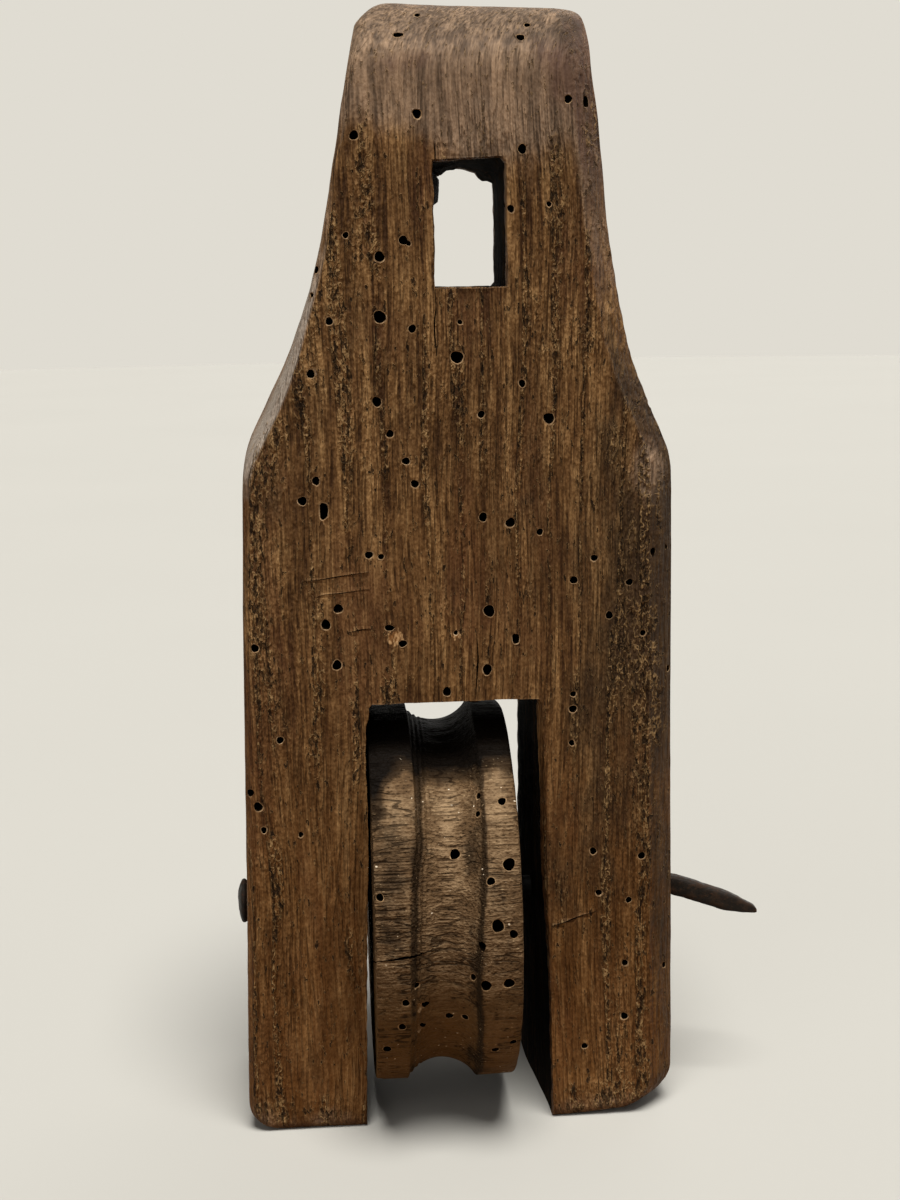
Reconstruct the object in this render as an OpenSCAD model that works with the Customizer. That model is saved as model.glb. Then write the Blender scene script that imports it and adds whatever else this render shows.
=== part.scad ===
// Wooden pulley block: one carved plank with an eye at the top, two cheeks below,
// and a grooved wooden wheel that turns between the cheeks on a forged nail.
// The block stands on its feet. X runs across the cheeks, Y runs through the plank
// and Z runs up. The origin is on the floor, midway between the cheeks.

/* [Plank] */
// Thickness of the plank, front to back
plank_t = 48; // [36:1:60]
// Height of the shoulders above the roof of the wheel slot
web_h = 52; // [30:1:75]
// Height of the crown's top above the shoulders
crown_h = 105; // [88:1:130]
// Radius of the outer corner at the bottom of each foot
foot_corner_r = 7; // [2:0.5:9]
// Radius of the outer corner at each shoulder
shoulder_r = 10; // [3:1:14]

/* [Cheeks] */
// Thickness of the left cheek at the roof of the slot
left_cheek_t = 28.7; // [22:0.1:36]
// Thickness of the left cheek at its foot
left_foot_t = 28.7; // [22:0.1:36]
// Distance that the left foot has spread outwards
left_splay = 3.1; // [0:0.1:6]
// Thickness of the right cheek at the roof of the slot
right_cheek_t = 31.5; // [24:0.1:38]
// Thickness of the right cheek at its foot
right_foot_t = 30; // [24:0.1:38]
// Distance that the right foot has spread outwards
right_splay = 1.9; // [0:0.1:6]

/* [Wheel slot] */
// Width of the slot at its roof
slot_w = 39.8; // [33.3:0.1:54]
// Height of the slot, from the feet to its roof
slot_h = 105; // [99:1:140]

/* [Crown] */
// Width across the top of the crown
crown_top_w = 50; // [38:1:62]
// Distance of the top's middle to the right of the slot's middle
crown_top_shift = 6.6; // [0:0.1:10]
// Drop of the top's right end below its left end
crown_drop = 1.5; // [0:0.1:4]
// Width across the neck, where the flanks meet the shoulder slopes
neck_w = 73.6; // [58:0.1:84]
// Distance of the neck's middle to the right of the slot's middle
neck_shift = 2.8; // [0:0.1:6]
// Height of the neck above the shoulders
neck_h = 30; // [20:1:36]
// Radius of the hollow sweep between flank and shoulder
neck_r = 165; // [60:5:200]
// Radius of the corners at the ends of the top
crown_corner_r = 6; // [2:0.5:10]
// Radius over which the top rolls down to the front and the back
crown_roll_r = 18; // [6:1:18]

/* [Eye] */
// Width of the square eye that takes the hanging rope
eye_w = 16; // [10:0.5:22]
// Height of the eye
eye_h = 28.2; // [18:0.1:36]
// Height of the eye's floor above the shoulders
eye_rise = 42.3; // [36:0.1:50]
// Distance of the eye's middle to the right of the crown's middle
eye_offset = 0.8; // [-4:0.1:4]

/* [Wheel] */
// Radius of the wheel over its rims
wheel_r = 46.5; // [38:0.1:48.5]
// Width of the wheel
wheel_w = 32.6; // [24:0.1:38.7]
// Width of the rope groove where it opens
groove_w = 16.6; // [8:0.1:20]
// Depth of the rope groove below the rims
groove_d = 4.7; // [2:0.1:8]
// Radius of the worn outer corner of each rim
rim_corner_r = 1.2; // [0.4:0.1:1.8]
// Height of the wheel's axis above the feet
axle_z = 51.1; // [50:0.1:56]

/* [Nail] */
// Radius of the nail's round shank
nail_r = 2.4; // [1.8:0.1:3.5]
// Radius of the forged head
head_r = 5.3; // [4.5:0.1:7]
// Thickness of the head's rim
head_rim_t = 1; // [0.6:0.1:2]
// Height of the dome on the head
head_dome_h = 0.8; // [0.4:0.1:2]
// Height of the tapered throat under the head
head_throat_h = 0.6; // [0.4:0.1:2]
// Height of the flattened tail
tail_t = 4.5; // [3.5:0.1:7]
// Depth of the flattened tail, front to back
tail_w = 3.8; // [3:0.1:7]
// Length of the tail, from the cheek to the tip
tail_l = 25.5; // [18:0.5:34]
// Length of the bevels that make the point
tip_l = 7.5; // [4:0.5:9]
// Height of the blunt end of the point
tip_t = 1.2; // [0.6:0.1:2]
// Angle at which the tail hangs down where it leaves the cheek
tail_droop = 15; // [0:1:18]
// Further bend halfway along the tail
tail_bend = 4; // [0:1:12]
// Angle at which the tail is bent towards the front
tail_swing = 10; // [0:1:20]

/* [Clearances] */
// Gap between the wheel and the left cheek where they are nearest
side_gap = 0.3; // [0.3:0.1:0.9]
// Radial gap between the nail and the worn hole of the wheel
axle_play = 0.4; // [0.1:0.1:0.9]
// Radial gap between the nail and its holes in the cheeks
nail_gap = 0.05; // [0.02:0.01:0.1]
// Gap between the nail's throat and the cheek that it is driven against
seat_gap = 0.05; // [0.02:0.01:0.3]

/* [Hidden] */

// Extra length of a cut past the faces that it goes through
past = 1;
// Coarsest turn between two neighbouring points of a rounded corner, in degrees
arc_step = 15;
// Longest straight stretch along a rounded corner
arc_chord = 6;
// Share of a side that one rounded corner may take up
side_share = 0.49;

shoulder_z = slot_h + web_h;
top_z = shoulder_z + crown_h;
neck_z = shoulder_z + neck_h;
eye_floor_z = shoulder_z + eye_rise;
slot_half = slot_w / 2;

// Distance that a cheek's wall leans outwards at height z, from a straight line
// between its foot and a point that stands upright
function lean(z, foot, upright_z) = foot * (1 - z / upright_z);

// Outer face of the left cheek at height z
left_out_foot = left_splay + left_foot_t - left_cheek_t;
function left_face_x(z) = -slot_half - left_cheek_t - lean(z, left_out_foot, shoulder_z);

// Outer face of the right cheek at height z
right_out_foot = right_splay + right_foot_t - right_cheek_t;
function right_face_x(z) = slot_half + right_cheek_t + lean(z, right_out_foot, shoulder_z);

// Inner face of the left cheek at height z
function left_wall_x(z) = -slot_half - lean(z, left_splay, slot_h);

// Middle of the crown at height z, along the line from the neck to the top
function crown_mid_x(z) =
    neck_shift + (crown_top_shift - neck_shift) * (z - neck_z) / (top_z - neck_z);

// Points along the arc that rounds the corner b of the path a, b, c. The radius is
// cut back where a side is too short to hold it.
function corner_arc(a, b, c, r) =
    let (
        to_a = (a - b) / norm(a - b),
        to_c = (c - b) / norm(c - b),
        bend = 180 - acos(to_a * to_c),
        room = side_share * min(norm(a - b), norm(c - b)),
        reach = min(r * tan(bend / 2), room),
        arc_r = reach / tan(bend / 2),
        half_way = to_a + to_c,
        centre = b + half_way / norm(half_way) * arc_r / cos(bend / 2),
        start = b + to_a * reach - centre,
        side = cross(to_a, to_c) > 0 ? -1 : 1,
        steps = max(ceil(bend / arc_step), ceil(bend * PI / 180 * arc_r / arc_chord))
    )
    [for (i = [0:steps])
        let (turn = side * bend * i / steps)
        centre + [start.x * cos(turn) - start.y * sin(turn),
                  start.x * sin(turn) + start.y * cos(turn)]];

// Outline through a list of corners [x, y, radius], each one rounded where its
// radius isn't 0
function rounded(corners) =
    let (count = len(corners))
    [for (i = [0:count - 1])
        let (
            before = corners[(i + count - 1) % count],
            here = corners[i],
            after = corners[(i + 1) % count]
        )
        each here.z == 0
            ? [[here.x, here.y]]
            : corner_arc([before.x, before.y], [here.x, here.y], [after.x, after.y], here.z)];

// Front view of the plank without its slot
plank_corners = [
    [left_face_x(0), 0, foot_corner_r],
    [right_face_x(0), 0, foot_corner_r],
    [right_face_x(shoulder_z), shoulder_z, shoulder_r],
    [neck_shift + neck_w / 2, neck_z, neck_r],
    [crown_top_shift + crown_top_w / 2, top_z - crown_drop, crown_corner_r],
    [crown_top_shift - crown_top_w / 2, top_z, crown_corner_r],
    [neck_shift - neck_w / 2, neck_z, neck_r],
    [left_face_x(shoulder_z), shoulder_z, shoulder_r]
];

// Side view of the plank, with its rolled top
side_corners = [
    [-plank_t / 2, 0, 0],
    [plank_t / 2, 0, 0],
    [plank_t / 2, top_z, crown_roll_r],
    [-plank_t / 2, top_z, crown_roll_r]
];

// A flat shape drawn in X and Z, given a thickness along Y about the mid-plane
module upright(thickness) {
    rotate([90, 0, 0])
        linear_extrude(thickness, center = true)
            children();
}

// Everything on the nail's axis is drawn along +Z and laid along +X
module on_axle(x) {
    translate([x, 0, axle_z])
        rotate([0, 90, 0])
            children();
}

module plank() {
    reach = 2 * (slot_half + max(left_cheek_t, right_cheek_t)) + 2 * crown_h;
    intersection() {
        upright(plank_t)
            polygon(rounded(plank_corners));
        rotate([90, 0, 90])
            linear_extrude(reach, center = true)
                polygon(rounded(side_corners));
    }
}

// The gap between the cheeks, which widens towards the feet
module wheel_slot() {
    mouth = -past;
    left_mouth = -slot_half - lean(mouth, left_splay, slot_h);
    right_mouth = slot_half + lean(mouth, right_splay, slot_h);
    upright(plank_t + 2 * past)
        polygon([
            [left_mouth, mouth],
            [right_mouth, mouth],
            [slot_half, slot_h],
            [-slot_half, slot_h]
        ]);
}

module eye() {
    eye_mid_z = eye_floor_z + eye_h / 2;
    translate([crown_mid_x(eye_mid_z) + eye_offset, 0, eye_mid_z])
        cube([eye_w, plank_t + 2 * past, eye_h], center = true);
}

module nail_holes() {
    start = left_face_x(axle_z) - past;
    on_axle(start)
        cylinder(r = nail_r + nail_gap, h = right_face_x(axle_z) + past - start, $fn = 48);
}

// The carved plank: crown, shoulders and two cheeks in one piece of wood
module shell() {
    color([0.36, 0.24, 0.15])
        difference() {
            plank();
            wheel_slot();
            eye();
            nail_holes();
        }
}

// Half section of the wheel, drawn as [distance from the axis, place along it]
module wheel_section() {
    bore_r = nail_r + axle_play;
    hollow_r = (pow(groove_w / 2, 2) + pow(groove_d, 2)) / (2 * groove_d);
    difference() {
        polygon(rounded([
            [bore_r, 0, 0],
            [wheel_r, 0, rim_corner_r],
            [wheel_r, wheel_w, rim_corner_r],
            [bore_r, wheel_w, 0]
        ]));
        translate([wheel_r - groove_d + hollow_r, wheel_w / 2])
            circle(r = hollow_r, $fn = 96);
    }
}

// Left face of the wheel, clear of the leaning cheek all the way up to the rim's top
wheel_left_x = left_wall_x(axle_z + wheel_r) + side_gap;

// The grooved wooden wheel
module sheave() {
    color([0.47, 0.37, 0.27])
        on_axle(wheel_left_x)
            rotate_extrude($fn = 144)
                wheel_section();
}

// Half section of the nail's head, from its throat to the top of its dome
module head_section() {
    rim_z = head_throat_h + head_rim_t;
    dome_z = rim_z + head_dome_h;
    polygon([
        [0, 0],
        [nail_r, 0],
        [head_r, head_throat_h],
        [head_r, rim_z],
        [head_r * 0.62, dome_z - head_dome_h * 0.3],
        [0, dome_z]
    ]);
}

// Side view of the tail: it hangs from its start, bends once halfway along and ends
// in a blunt point whose end lies low
module tail_side() {
    half_l = tail_l / 2;
    half_t = tail_t / 2;
    outer_bend = half_t * tan(tail_bend / 2);
    rotate(-tail_droop) {
        polygon([
            [0, -half_t],
            [half_l - outer_bend, -half_t],
            [half_l + outer_bend, half_t],
            [0, half_t]
        ]);
        translate([half_l, 0])
            rotate(-tail_bend)
                polygon([
                    [-outer_bend, -half_t],
                    [half_l - tip_l, -half_t],
                    [half_l, -tip_t],
                    [half_l, 0],
                    [half_l - tip_l, half_t],
                    [outer_bend, half_t]
                ]);
    }
}

// The forged nail: domed head, round shank and a flattened tail bent down
module axle_nail() {
    throat_x = left_face_x(axle_z - head_r) - seat_gap;
    tail_lean = tail_t / 2 * sin(tail_droop) + tail_w / 2 * sin(tail_swing);
    tail_x = right_face_x(axle_z) + tail_lean + seat_gap;
    color([0.16, 0.13, 0.11]) {
        on_axle(throat_x)
            rotate([180, 0, 0])
                rotate_extrude($fn = 48)
                    head_section();
        on_axle(throat_x)
            cylinder(r = nail_r, h = tail_x + nail_r / 2 - throat_x, $fn = 48);
        translate([tail_x, 0, axle_z])
            rotate([0, 0, -tail_swing])
                rotate([90, 0, 0])
                    linear_extrude(tail_w, center = true)
                        tail_side();
    }
}

shell();
sheave();
axle_nail();
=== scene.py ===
"""A worn wooden pulley block: hewn shell, grooved wheel and the clenched iron nail it turns on.

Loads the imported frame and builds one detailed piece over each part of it, in mm on the CAD axes.
"""
import math
from random import Random

import bmesh
import bpy
import numpy as np
from bpy.props import FloatProperty, FloatVectorProperty, IntProperty, PointerProperty
from bpy.types import Operator, Panel, PropertyGroup
from mathutils import Matrix, Vector
from mathutils.bvhtree import BVHTree


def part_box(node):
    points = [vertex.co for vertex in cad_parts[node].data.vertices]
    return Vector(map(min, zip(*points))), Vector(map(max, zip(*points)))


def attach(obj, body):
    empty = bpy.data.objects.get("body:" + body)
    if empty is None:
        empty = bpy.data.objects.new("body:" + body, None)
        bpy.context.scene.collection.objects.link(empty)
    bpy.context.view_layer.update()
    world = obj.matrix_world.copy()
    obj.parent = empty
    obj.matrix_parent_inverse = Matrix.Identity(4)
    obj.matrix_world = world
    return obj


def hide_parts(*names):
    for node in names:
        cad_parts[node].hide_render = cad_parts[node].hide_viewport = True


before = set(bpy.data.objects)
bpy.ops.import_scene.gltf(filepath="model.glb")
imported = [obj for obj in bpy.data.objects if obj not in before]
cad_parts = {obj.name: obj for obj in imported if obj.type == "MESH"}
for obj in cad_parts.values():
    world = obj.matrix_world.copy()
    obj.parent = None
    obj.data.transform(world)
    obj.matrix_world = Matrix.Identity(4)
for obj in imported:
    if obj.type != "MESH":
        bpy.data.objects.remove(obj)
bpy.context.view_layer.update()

bl_info = {
    "name": "Wooden Pulley Block",
    "version": (1, 0, 0),
    "blender": (4, 5, 0),
    "location": "View3D > Sidebar > Pulley Block",
    "description": "Builds a worn wooden pulley block with a grooved wheel on an iron nail",
    "category": "Add Mesh",
}

MM = 0.001
WHEEL_LOW, WHEEL_HIGH = (np.array(corner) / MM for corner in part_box("sheave"))
# Half of the shell's thickness, and X of the nail's left end
DEPTH_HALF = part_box("shell")[1][1] / MM
NAIL_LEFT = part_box("axle_nail")[0][0] / MM
AXLE_Z = (WHEEL_LOW[2] + WHEEL_HIGH[2]) / 2
WHEEL_R = (WHEEL_HIGH[2] - WHEEL_LOW[2]) / 2

# The photograph's camera, in mm and radians; its frame is 900 by 1200 pixels
CAMERA_PLACE = np.array((-30.75, -430.14, 201.9))
CAMERA_YAW = 0.073
CAMERA_PITCH = 0.178
CAMERA_ROLL = 0.017
FOCAL_PIXELS = 1802.0
FRAME_SIZE = (900, 1200)

# Outlines of the shell as height and X in mm, seen from the front
LEFT_TOP = ((239, -23.0), (249, -21.2), (256, -19.6), (262, -18.8))
LEFT_FRONT = (
    (0, -51.6), (33, -50.9), (82, -49.7), (130, -48.5), (155, -47.6), (160, -47.0), (164, -45.0),
    (171, -41.3), (175, -39.3), (181, -36.8), (186, -35.3), (191, -33.8), (197, -32.0), (207, -29.1),
    (217, -27.0), (230, -24.7), *LEFT_TOP,
)
LEFT_BACK = (
    (0, -51.6), (33, -51.0), (82, -50.0), (130, -49.4), (155, -49.2), (162, -47.9), (169, -44.4),
    (178, -39.6), (187, -35.5), (197, -31.8), (207, -29.0), (217, -26.9), (230, -24.6), *LEFT_TOP,
)
RIGHT = (
    (0, 52.2), (27, 52.1), (126, 51.6), (155, 51.7), (160, 51.5), (164, 49.9), (170, 47.4),
    (178, 44.0), (186, 41.2), (198, 39.0), (206, 37.6), (214, 36.6), (222, 35.8), (231, 35.0),
    (239, 34.3), (247, 33.2), (256, 32.6), (262, 32.2),
)

# The wheel slot's and the eye's outlines, as X and height in mm
SLOT_MOUTH_LEFT, SLOT_MOUTH_RIGHT = -23.0, 21.8
SLOT_TOP_LEFT, SLOT_TOP_RIGHT, SLOT_TOP = -19.9, 19.9, 105.0
# The wheel has rubbed the slot's left wall back to this X
RUBBED_X = -20.85
EYE_LEFT, EYE_RIGHT, EYE_SILL, EYE_TOP = -3.1, 12.9, 199.3, 227.5

# Worm holes that show on the shell's front: pixels across, down, wide, and tall where they aren't
# round, in the photograph's frame
SHELL_HOLES = (
    (398, 35, 11, 5.5), (417, 15, 6), (520.5, 37, 8), (527, 25, 6), (568.5, 99, 8), (586, 102, 9, 12),
    (417, 114, 9), (354, 135, 9), (522, 148.5, 9), (511, 209, 7), (549, 204, 5), (345.5, 235, 6),
    (403, 240, 9), (409, 243, 5), (379, 257, 11), (316, 270, 7), (312, 295, 5), (380, 317, 13),
    (329, 321, 8), (412, 328.5, 8), (460, 322, 5), (457, 357, 13), (311, 373.5, 9), (522, 383, 7),
    (377, 402, 10), (481, 414.5, 7.5), (549, 418.5, 11), (390, 434, 8), (406, 461, 8), (415, 484, 8),
    (316, 481, 8), (302, 501, 9), (323.5, 511, 9, 17), (483, 517, 9), (510, 523, 10), (540, 532, 7),
    (369, 555, 8), (381, 557, 6), (594, 558, 7), (653, 552, 8), (666, 547, 5), (574, 580, 8),
    (629, 582, 7), (338.5, 609, 10), (489, 611, 12), (609, 615, 8), (325.6, 625, 10), (643, 633, 6),
    (254.6, 648, 8), (337, 665, 10), (389.5, 628, 11, 6), (403, 643.5, 9, 7), (456, 633, 4, 5),
    (515.7, 639, 7, 11), (487, 669.5, 10), (447, 692, 9), (573.5, 694, 6), (572.6, 709, 8),
    (572, 742.6, 6), (668, 668, 6),
    (280, 740, 7), (250, 793, 8), (258.6, 807, 9), (264, 830, 6), (301, 835, 5), (593, 851, 7),
    (641.5, 855.6, 7), (599, 893, 6), (628.6, 899.6, 6), (664, 965, 6), (625, 963, 6), (624, 1016, 7),
    (584.6, 1046, 6),
)
# The same on the wheel
WHEEL_HOLES = (
    (455, 854, 10), (509, 864, 12), (491, 881, 8), (380, 897.5, 7), (498, 926, 12), (514, 934, 8),
    (482.5, 947, 8), (473, 977, 6), (486, 986, 10), (509, 983, 10), (417, 985, 6), (406, 1003, 7),
    (424, 1005, 6), (402, 1027, 7), (423, 1025, 6), (449, 1016, 7), (465, 1017, 6), (387, 1049, 8),
    (495, 1050, 7), (513, 1042, 6), (502, 801, 8), (478, 796, 6), (478, 814, 6),
)
# Cracks and knife cuts: width and depth in mm, then the path in the photograph's frame
SHELL_CRACKS = (
    (0.22, 2.6, (476.5, 632), (477.2, 660), (476, 699)), (0.16, 2.4, (435.5, 288), (434.6, 318), (436, 356)),
    (0.16, 2.0, (434.5, 163), (435, 152), (434, 140)), (0.16, 0.9, (552, 926), (572, 919), (596, 912)),
    (0.2, 0.5, (302, 583), (330, 578), (368, 571)), (0.2, 0.4, (318, 597), (346, 592), (371, 589)),
    (0.2, 0.5, (348, 634), (360, 631), (374, 629)),
)
WHEEL_CRACKS = ((0.32, 2.2, (372.5, 962.5), (392, 960.5), (416, 956), (428, 952), (443, 949)),)


# Numbers


def srgb(red, green, blue):
    """A colour written in 0 to 255, as the linear values that materials take."""
    parts = [channel / 255 for channel in (red, green, blue)]
    return tuple(p / 12.92 if p < 0.04045 else ((p + 0.055) / 1.055) ** 2.4 for p in parts)


def smooth(low, high, value):
    """0 at low, 1 at high and an even curve between them."""
    part = np.clip((value - low) / (high - low), 0, 1)
    return part * part * (3 - 2 * part)


def lumps(points, size, seed=0):
    """Smooth random values from -1 to 1 at points in mm, with lumps about size mm across."""
    place = np.asarray(points, float) / np.asarray(size, float)
    cell = np.floor(place).astype(np.int64)
    part = place - cell
    part = part * part * (3 - 2 * part)
    total = np.zeros(place.shape[:-1])
    for corner in np.ndindex(2, 2, 2):
        key = (cell + np.array(corner)) @ np.array((73856093, 19349663, 83492791))
        key = (key + seed * 2654435761) & 0xFFFFFFFF
        key = ((key ^ (key >> 13)) * 1274126177) & 0xFFFFFFFF
        key = ((key ^ (key >> 16)) * 668265263) & 0xFFFFFFFF
        weight = np.where(np.array(corner), part, 1 - part).prod(-1)
        total += weight * (key / 2**31 - 1)
    return total


def outline_x(points, heights):
    """X of a measured outline at each height, with its corners softened over a few mm."""
    level, across = np.array(points, float).T
    return np.mean([np.interp(heights + d, level, across) for d in (-3, -1.5, 0, 1.5, 3)], axis=0)


def camera_axes():
    """The photograph's camera directions: to the right, down and forward."""
    yaw, pitch, roll = CAMERA_YAW, CAMERA_PITCH, CAMERA_ROLL
    forward = np.array(
        (math.sin(yaw) * math.cos(pitch), math.cos(yaw) * math.cos(pitch), -math.sin(pitch))
    )
    level = np.array((math.cos(yaw), -math.sin(yaw), 0.0))
    below = np.cross(forward, level)
    across = math.cos(roll) * level + math.sin(roll) * below
    down = -math.sin(roll) * level + math.cos(roll) * below
    return across, down, forward


def pixel_ray(x, y):
    """Direction in which the photograph's camera sees a pixel."""
    across, down, forward = camera_axes()
    ray = across * (x - FRAME_SIZE[0] / 2) / FOCAL_PIXELS
    ray = ray + down * (y - FRAME_SIZE[1] / 2) / FOCAL_PIXELS + forward
    return ray / np.linalg.norm(ray)


def pixels_of(points):
    """Where points in mm fall in the photograph's frame, as pixels across and down."""
    across, down, forward = camera_axes()
    offset = points - CAMERA_PLACE
    depth = offset @ forward
    x = FRAME_SIZE[0] / 2 + FOCAL_PIXELS * (offset @ across) / depth
    y = FRAME_SIZE[1] / 2 + FOCAL_PIXELS * (offset @ down) / depth
    return x, y


# Meshes

# Material index of each kind of surface; bores and inner walls are painted near-black as shade
WOOD, LIP, BORE_SHADE, INNER_SHADE = range(4)


def skin(name, rings, loop=False, fill=False, slots=None):
    """A closed mesh through rows of points in mm: each row is a ring, its ends filled or joined."""
    rows, count = rings.shape[:2]
    points = rings.reshape(-1, 3)
    here = np.arange(count)
    after = (here + 1) % count
    faces, index = [], []
    for row in range(rows if loop else rows - 1):
        low, high = row * count, ((row + 1) % rows) * count
        faces += np.stack((low + here, low + after, high + after, high + here), axis=1).tolist()
        index += [slots[row] if slots else 0] * count
    if fill:
        for row in (0, rows - 1):
            middle = len(points)
            points = np.vstack((points, rings[row].mean(axis=0)))
            start = row * count
            faces += [(start + i, start + (i + 1) % count, middle) for i in range(count)]
            index += [slots[min(row, rows - 2)] if slots else 0] * count
    mesh = bpy.data.meshes.new(name)
    mesh.from_pydata((points * MM).tolist(), [], faces)
    mesh.polygons.foreach_set("material_index", index)
    tidy(mesh)
    return mesh


def ring_across(x, y, z):
    """A ring of points round the X axis, all at one X or each at its own."""
    return np.column_stack((np.broadcast_to(x, y.shape), y, z))


def tidy(mesh, reach=0.01):
    """Merges points that fall together and turns every face outwards."""
    work = bmesh.new()
    work.from_mesh(mesh)
    bmesh.ops.remove_doubles(work, verts=work.verts, dist=reach * MM)
    bmesh.ops.recalc_face_normals(work, faces=work.faces)
    work.to_mesh(mesh)
    work.free()


def points_of(mesh):
    """A mesh's points in mm and its normals there."""
    count = len(mesh.vertices)
    place, normal = np.empty(count * 3), np.empty(count * 3)
    mesh.vertices.foreach_get("co", place)
    mesh.vertices.foreach_get("normal", normal)
    return place.reshape(-1, 3) / MM, normal.reshape(-1, 3)


def move_points(mesh, points):
    """Puts a mesh's points at these places in mm."""
    mesh.vertices.foreach_set("co", (points * MM).ravel())
    mesh.update()


def joined(name, meshes):
    """One mesh out of several that stand apart."""
    work = bmesh.new()
    for mesh in meshes:
        work.from_mesh(mesh)
        bpy.data.meshes.remove(mesh)
    whole = bpy.data.meshes.new(name)
    work.to_mesh(whole)
    work.free()
    return whole


def carve(mesh, cutter):
    """The mesh with the cutter's shape taken out of it; faces keep their material index."""
    block = bpy.data.objects.new("blank", mesh)
    tool = bpy.data.objects.new("cutter", cutter)
    slots = [bpy.data.materials.new("carving") for _ in (WOOD, LIP, BORE_SHADE, INNER_SHADE)]
    for item in (block, tool):
        bpy.context.scene.collection.objects.link(item)
        for slot in slots:
            item.data.materials.append(slot)
    cut = block.modifiers.new("cut", "BOOLEAN")
    cut.operation = "DIFFERENCE"
    cut.solver = "MANIFOLD"
    cut.object = tool
    graph = bpy.context.evaluated_depsgraph_get()
    result = bpy.data.meshes.new_from_object(block.evaluated_get(graph), depsgraph=graph)
    before = len(mesh.vertices)
    for item in (block, tool):
        bpy.data.objects.remove(item)
    for old in (mesh, cutter):
        bpy.data.meshes.remove(old)
    if len(result.vertices) < before / 4:
        raise RuntimeError("the cut failed: the blank or the cutter isn't closed")
    index = np.empty(len(result.polygons), np.int32)
    result.polygons.foreach_get("material_index", index)
    result.materials.clear()
    for slot in slots:
        bpy.data.materials.remove(slot)
    result.polygons.foreach_set("material_index", index)
    return result


def tree_of(mesh):
    """A search tree of a mesh's faces, in metres."""
    work = bmesh.new()
    work.from_mesh(mesh)
    tree = BVHTree.FromBMesh(work)
    work.free()
    return tree


def place_piece(name, mesh, materials, body, node, sharp_angle=38):
    """Makes the piece that stands for a CAD node and rides on its body; the angle is in degrees."""
    for material in materials:
        mesh.materials.append(material)
    mesh.polygons.foreach_set("use_smooth", [True] * len(mesh.polygons))
    mesh.set_sharp_from_angle(angle=math.radians(sharp_angle))
    mesh.update()
    mesh.name = name
    piece = bpy.data.objects.new(name, mesh)
    bpy.context.scene.collection.objects.link(piece)
    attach(piece, body)
    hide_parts(node)
    return piece


def paint(mesh, **layers):
    """Stores one value per point and layer, for the materials to read."""
    for name, values in layers.items():
        layer = mesh.attributes.new(name, "FLOAT", "POINT")
        layer.data.foreach_set("value", values.astype(np.float32))


# Wear: worm holes and cracks


def blunt(turn, power):
    """Reach of a squared-off circle by angle: a power of 2 is round, and more is squarer."""
    return 1 / (np.abs(np.cos(turn)) ** power + np.abs(np.sin(turn)) ** power) ** (1 / power)


def worm_hole(place, inward, radius, depth, rand, tall=1.0, lip=0.3):
    """Cutter for one hole: a splayed pale lip, then a dark bore that bends and narrows to its end."""
    inward = Vector(inward).normalized()
    across = Vector((1, 0, 0)) if abs(inward.x) < 0.8 else Vector((0, 1, 0))
    across = (across - inward * across.dot(inward)).normalized()
    upward = inward.cross(across)
    lean = across * rand.uniform(-0.35, 0.35) + upward * rand.uniform(-0.35, 0.35)
    turn = np.linspace(0, 2 * math.pi, 18, endpoint=False)
    shift, sway = rand.uniform(0, 6.28), rand.uniform(0, 6.28)
    ragged = 1 + 0.06 * np.sin(turn * 2 + shift) + 0.05 * np.sin(turn * 3 + sway)
    ragged *= np.array([rand.uniform(0.96, 1.04) for _ in turn])
    # how far in, the reach there, and how much of the bend
    steps = (
        (-1.3, radius + lip * 4.0, 0), (0.0, radius + lip, 0), (lip * 0.35, radius + 0.03, 0.05),
        (depth * 0.5, radius * 0.95, 0.5), (depth, radius * 0.72, 1),
    )
    # tall holes have blunter ends than an ellipse
    if tall > 1.3:
        ragged = ragged * blunt(turn, 3.5)
    rings = []
    for at, reach, bend in steps:
        middle = np.array(place) + np.array(inward) * at + np.array(lean) * depth * bend
        side = np.outer(np.cos(turn) * ragged * reach, np.array(across))
        up = np.outer(np.sin(turn) * ragged * (reach + radius * (tall - 1)), np.array(upward))
        rings.append(middle + side + up)
    return skin("hole", np.array(rings), fill=True, slots=[LIP, LIP, BORE_SHADE, BORE_SHADE])


def seen_at(tree, x, y):
    """What the photograph's camera meets at a pixel: its place in mm, its normal and how far it is."""
    hit, normal, _, distance = tree.ray_cast(Vector(CAMERA_PLACE * MM), Vector(pixel_ray(x, y)))
    return None if hit is None else (np.array(hit) / MM, np.array(normal), distance / MM)


def crack(tree, width, depth, pixels, seed):
    """Cutter for a crack that the camera sees along a path of pixels: a thin wedge into the wood."""
    path = []
    for first, last in zip(pixels[:-1], pixels[1:]):
        steps = max(2, int(math.dist(first, last) / 4))
        path += [np.array(first) + (np.array(last) - first) * t / steps for t in range(steps)]
    path.append(np.array(pixels[-1], float))
    seen = [point for point in (seen_at(tree, *pixel) for pixel in path) if point]
    if len(seen) < 3:
        raise RuntimeError("a crack's path misses the wood")
    places, normals, _ = (np.array(part) for part in zip(*seen))
    near = np.vstack((normals[:1], normals, normals[-1:]))
    normals = near[:-2] + near[1:-1] + near[2:]
    normals /= np.linalg.norm(normals, axis=1)[:, None]
    side = np.cross(np.gradient(places, axis=0), normals)
    side /= np.linalg.norm(side, axis=1)[:, None]
    # widest and deepest halfway along, fine at both ends
    share = np.sin(np.linspace(0.06, math.pi - 0.06, len(places)))[:, None]
    half = width / 2 * share * (1 + 0.4 * lumps(places, 3, seed)[:, None]) + 0.03
    places = places + side * 0.35 * lumps(places, 5, seed + 1)[:, None]
    reach = depth * (0.4 + 0.6 * share)
    outer = [places + normals * 0.8 + side * half * 1.8, places + normals * 0.8 - side * half * 1.8]
    inner = [places - normals * reach - side * 0.02, places - normals * reach + side * 0.02]
    return skin("crack", np.stack(outer + inner, axis=1), fill=True, slots=[BORE_SHADE] * len(places))


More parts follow.
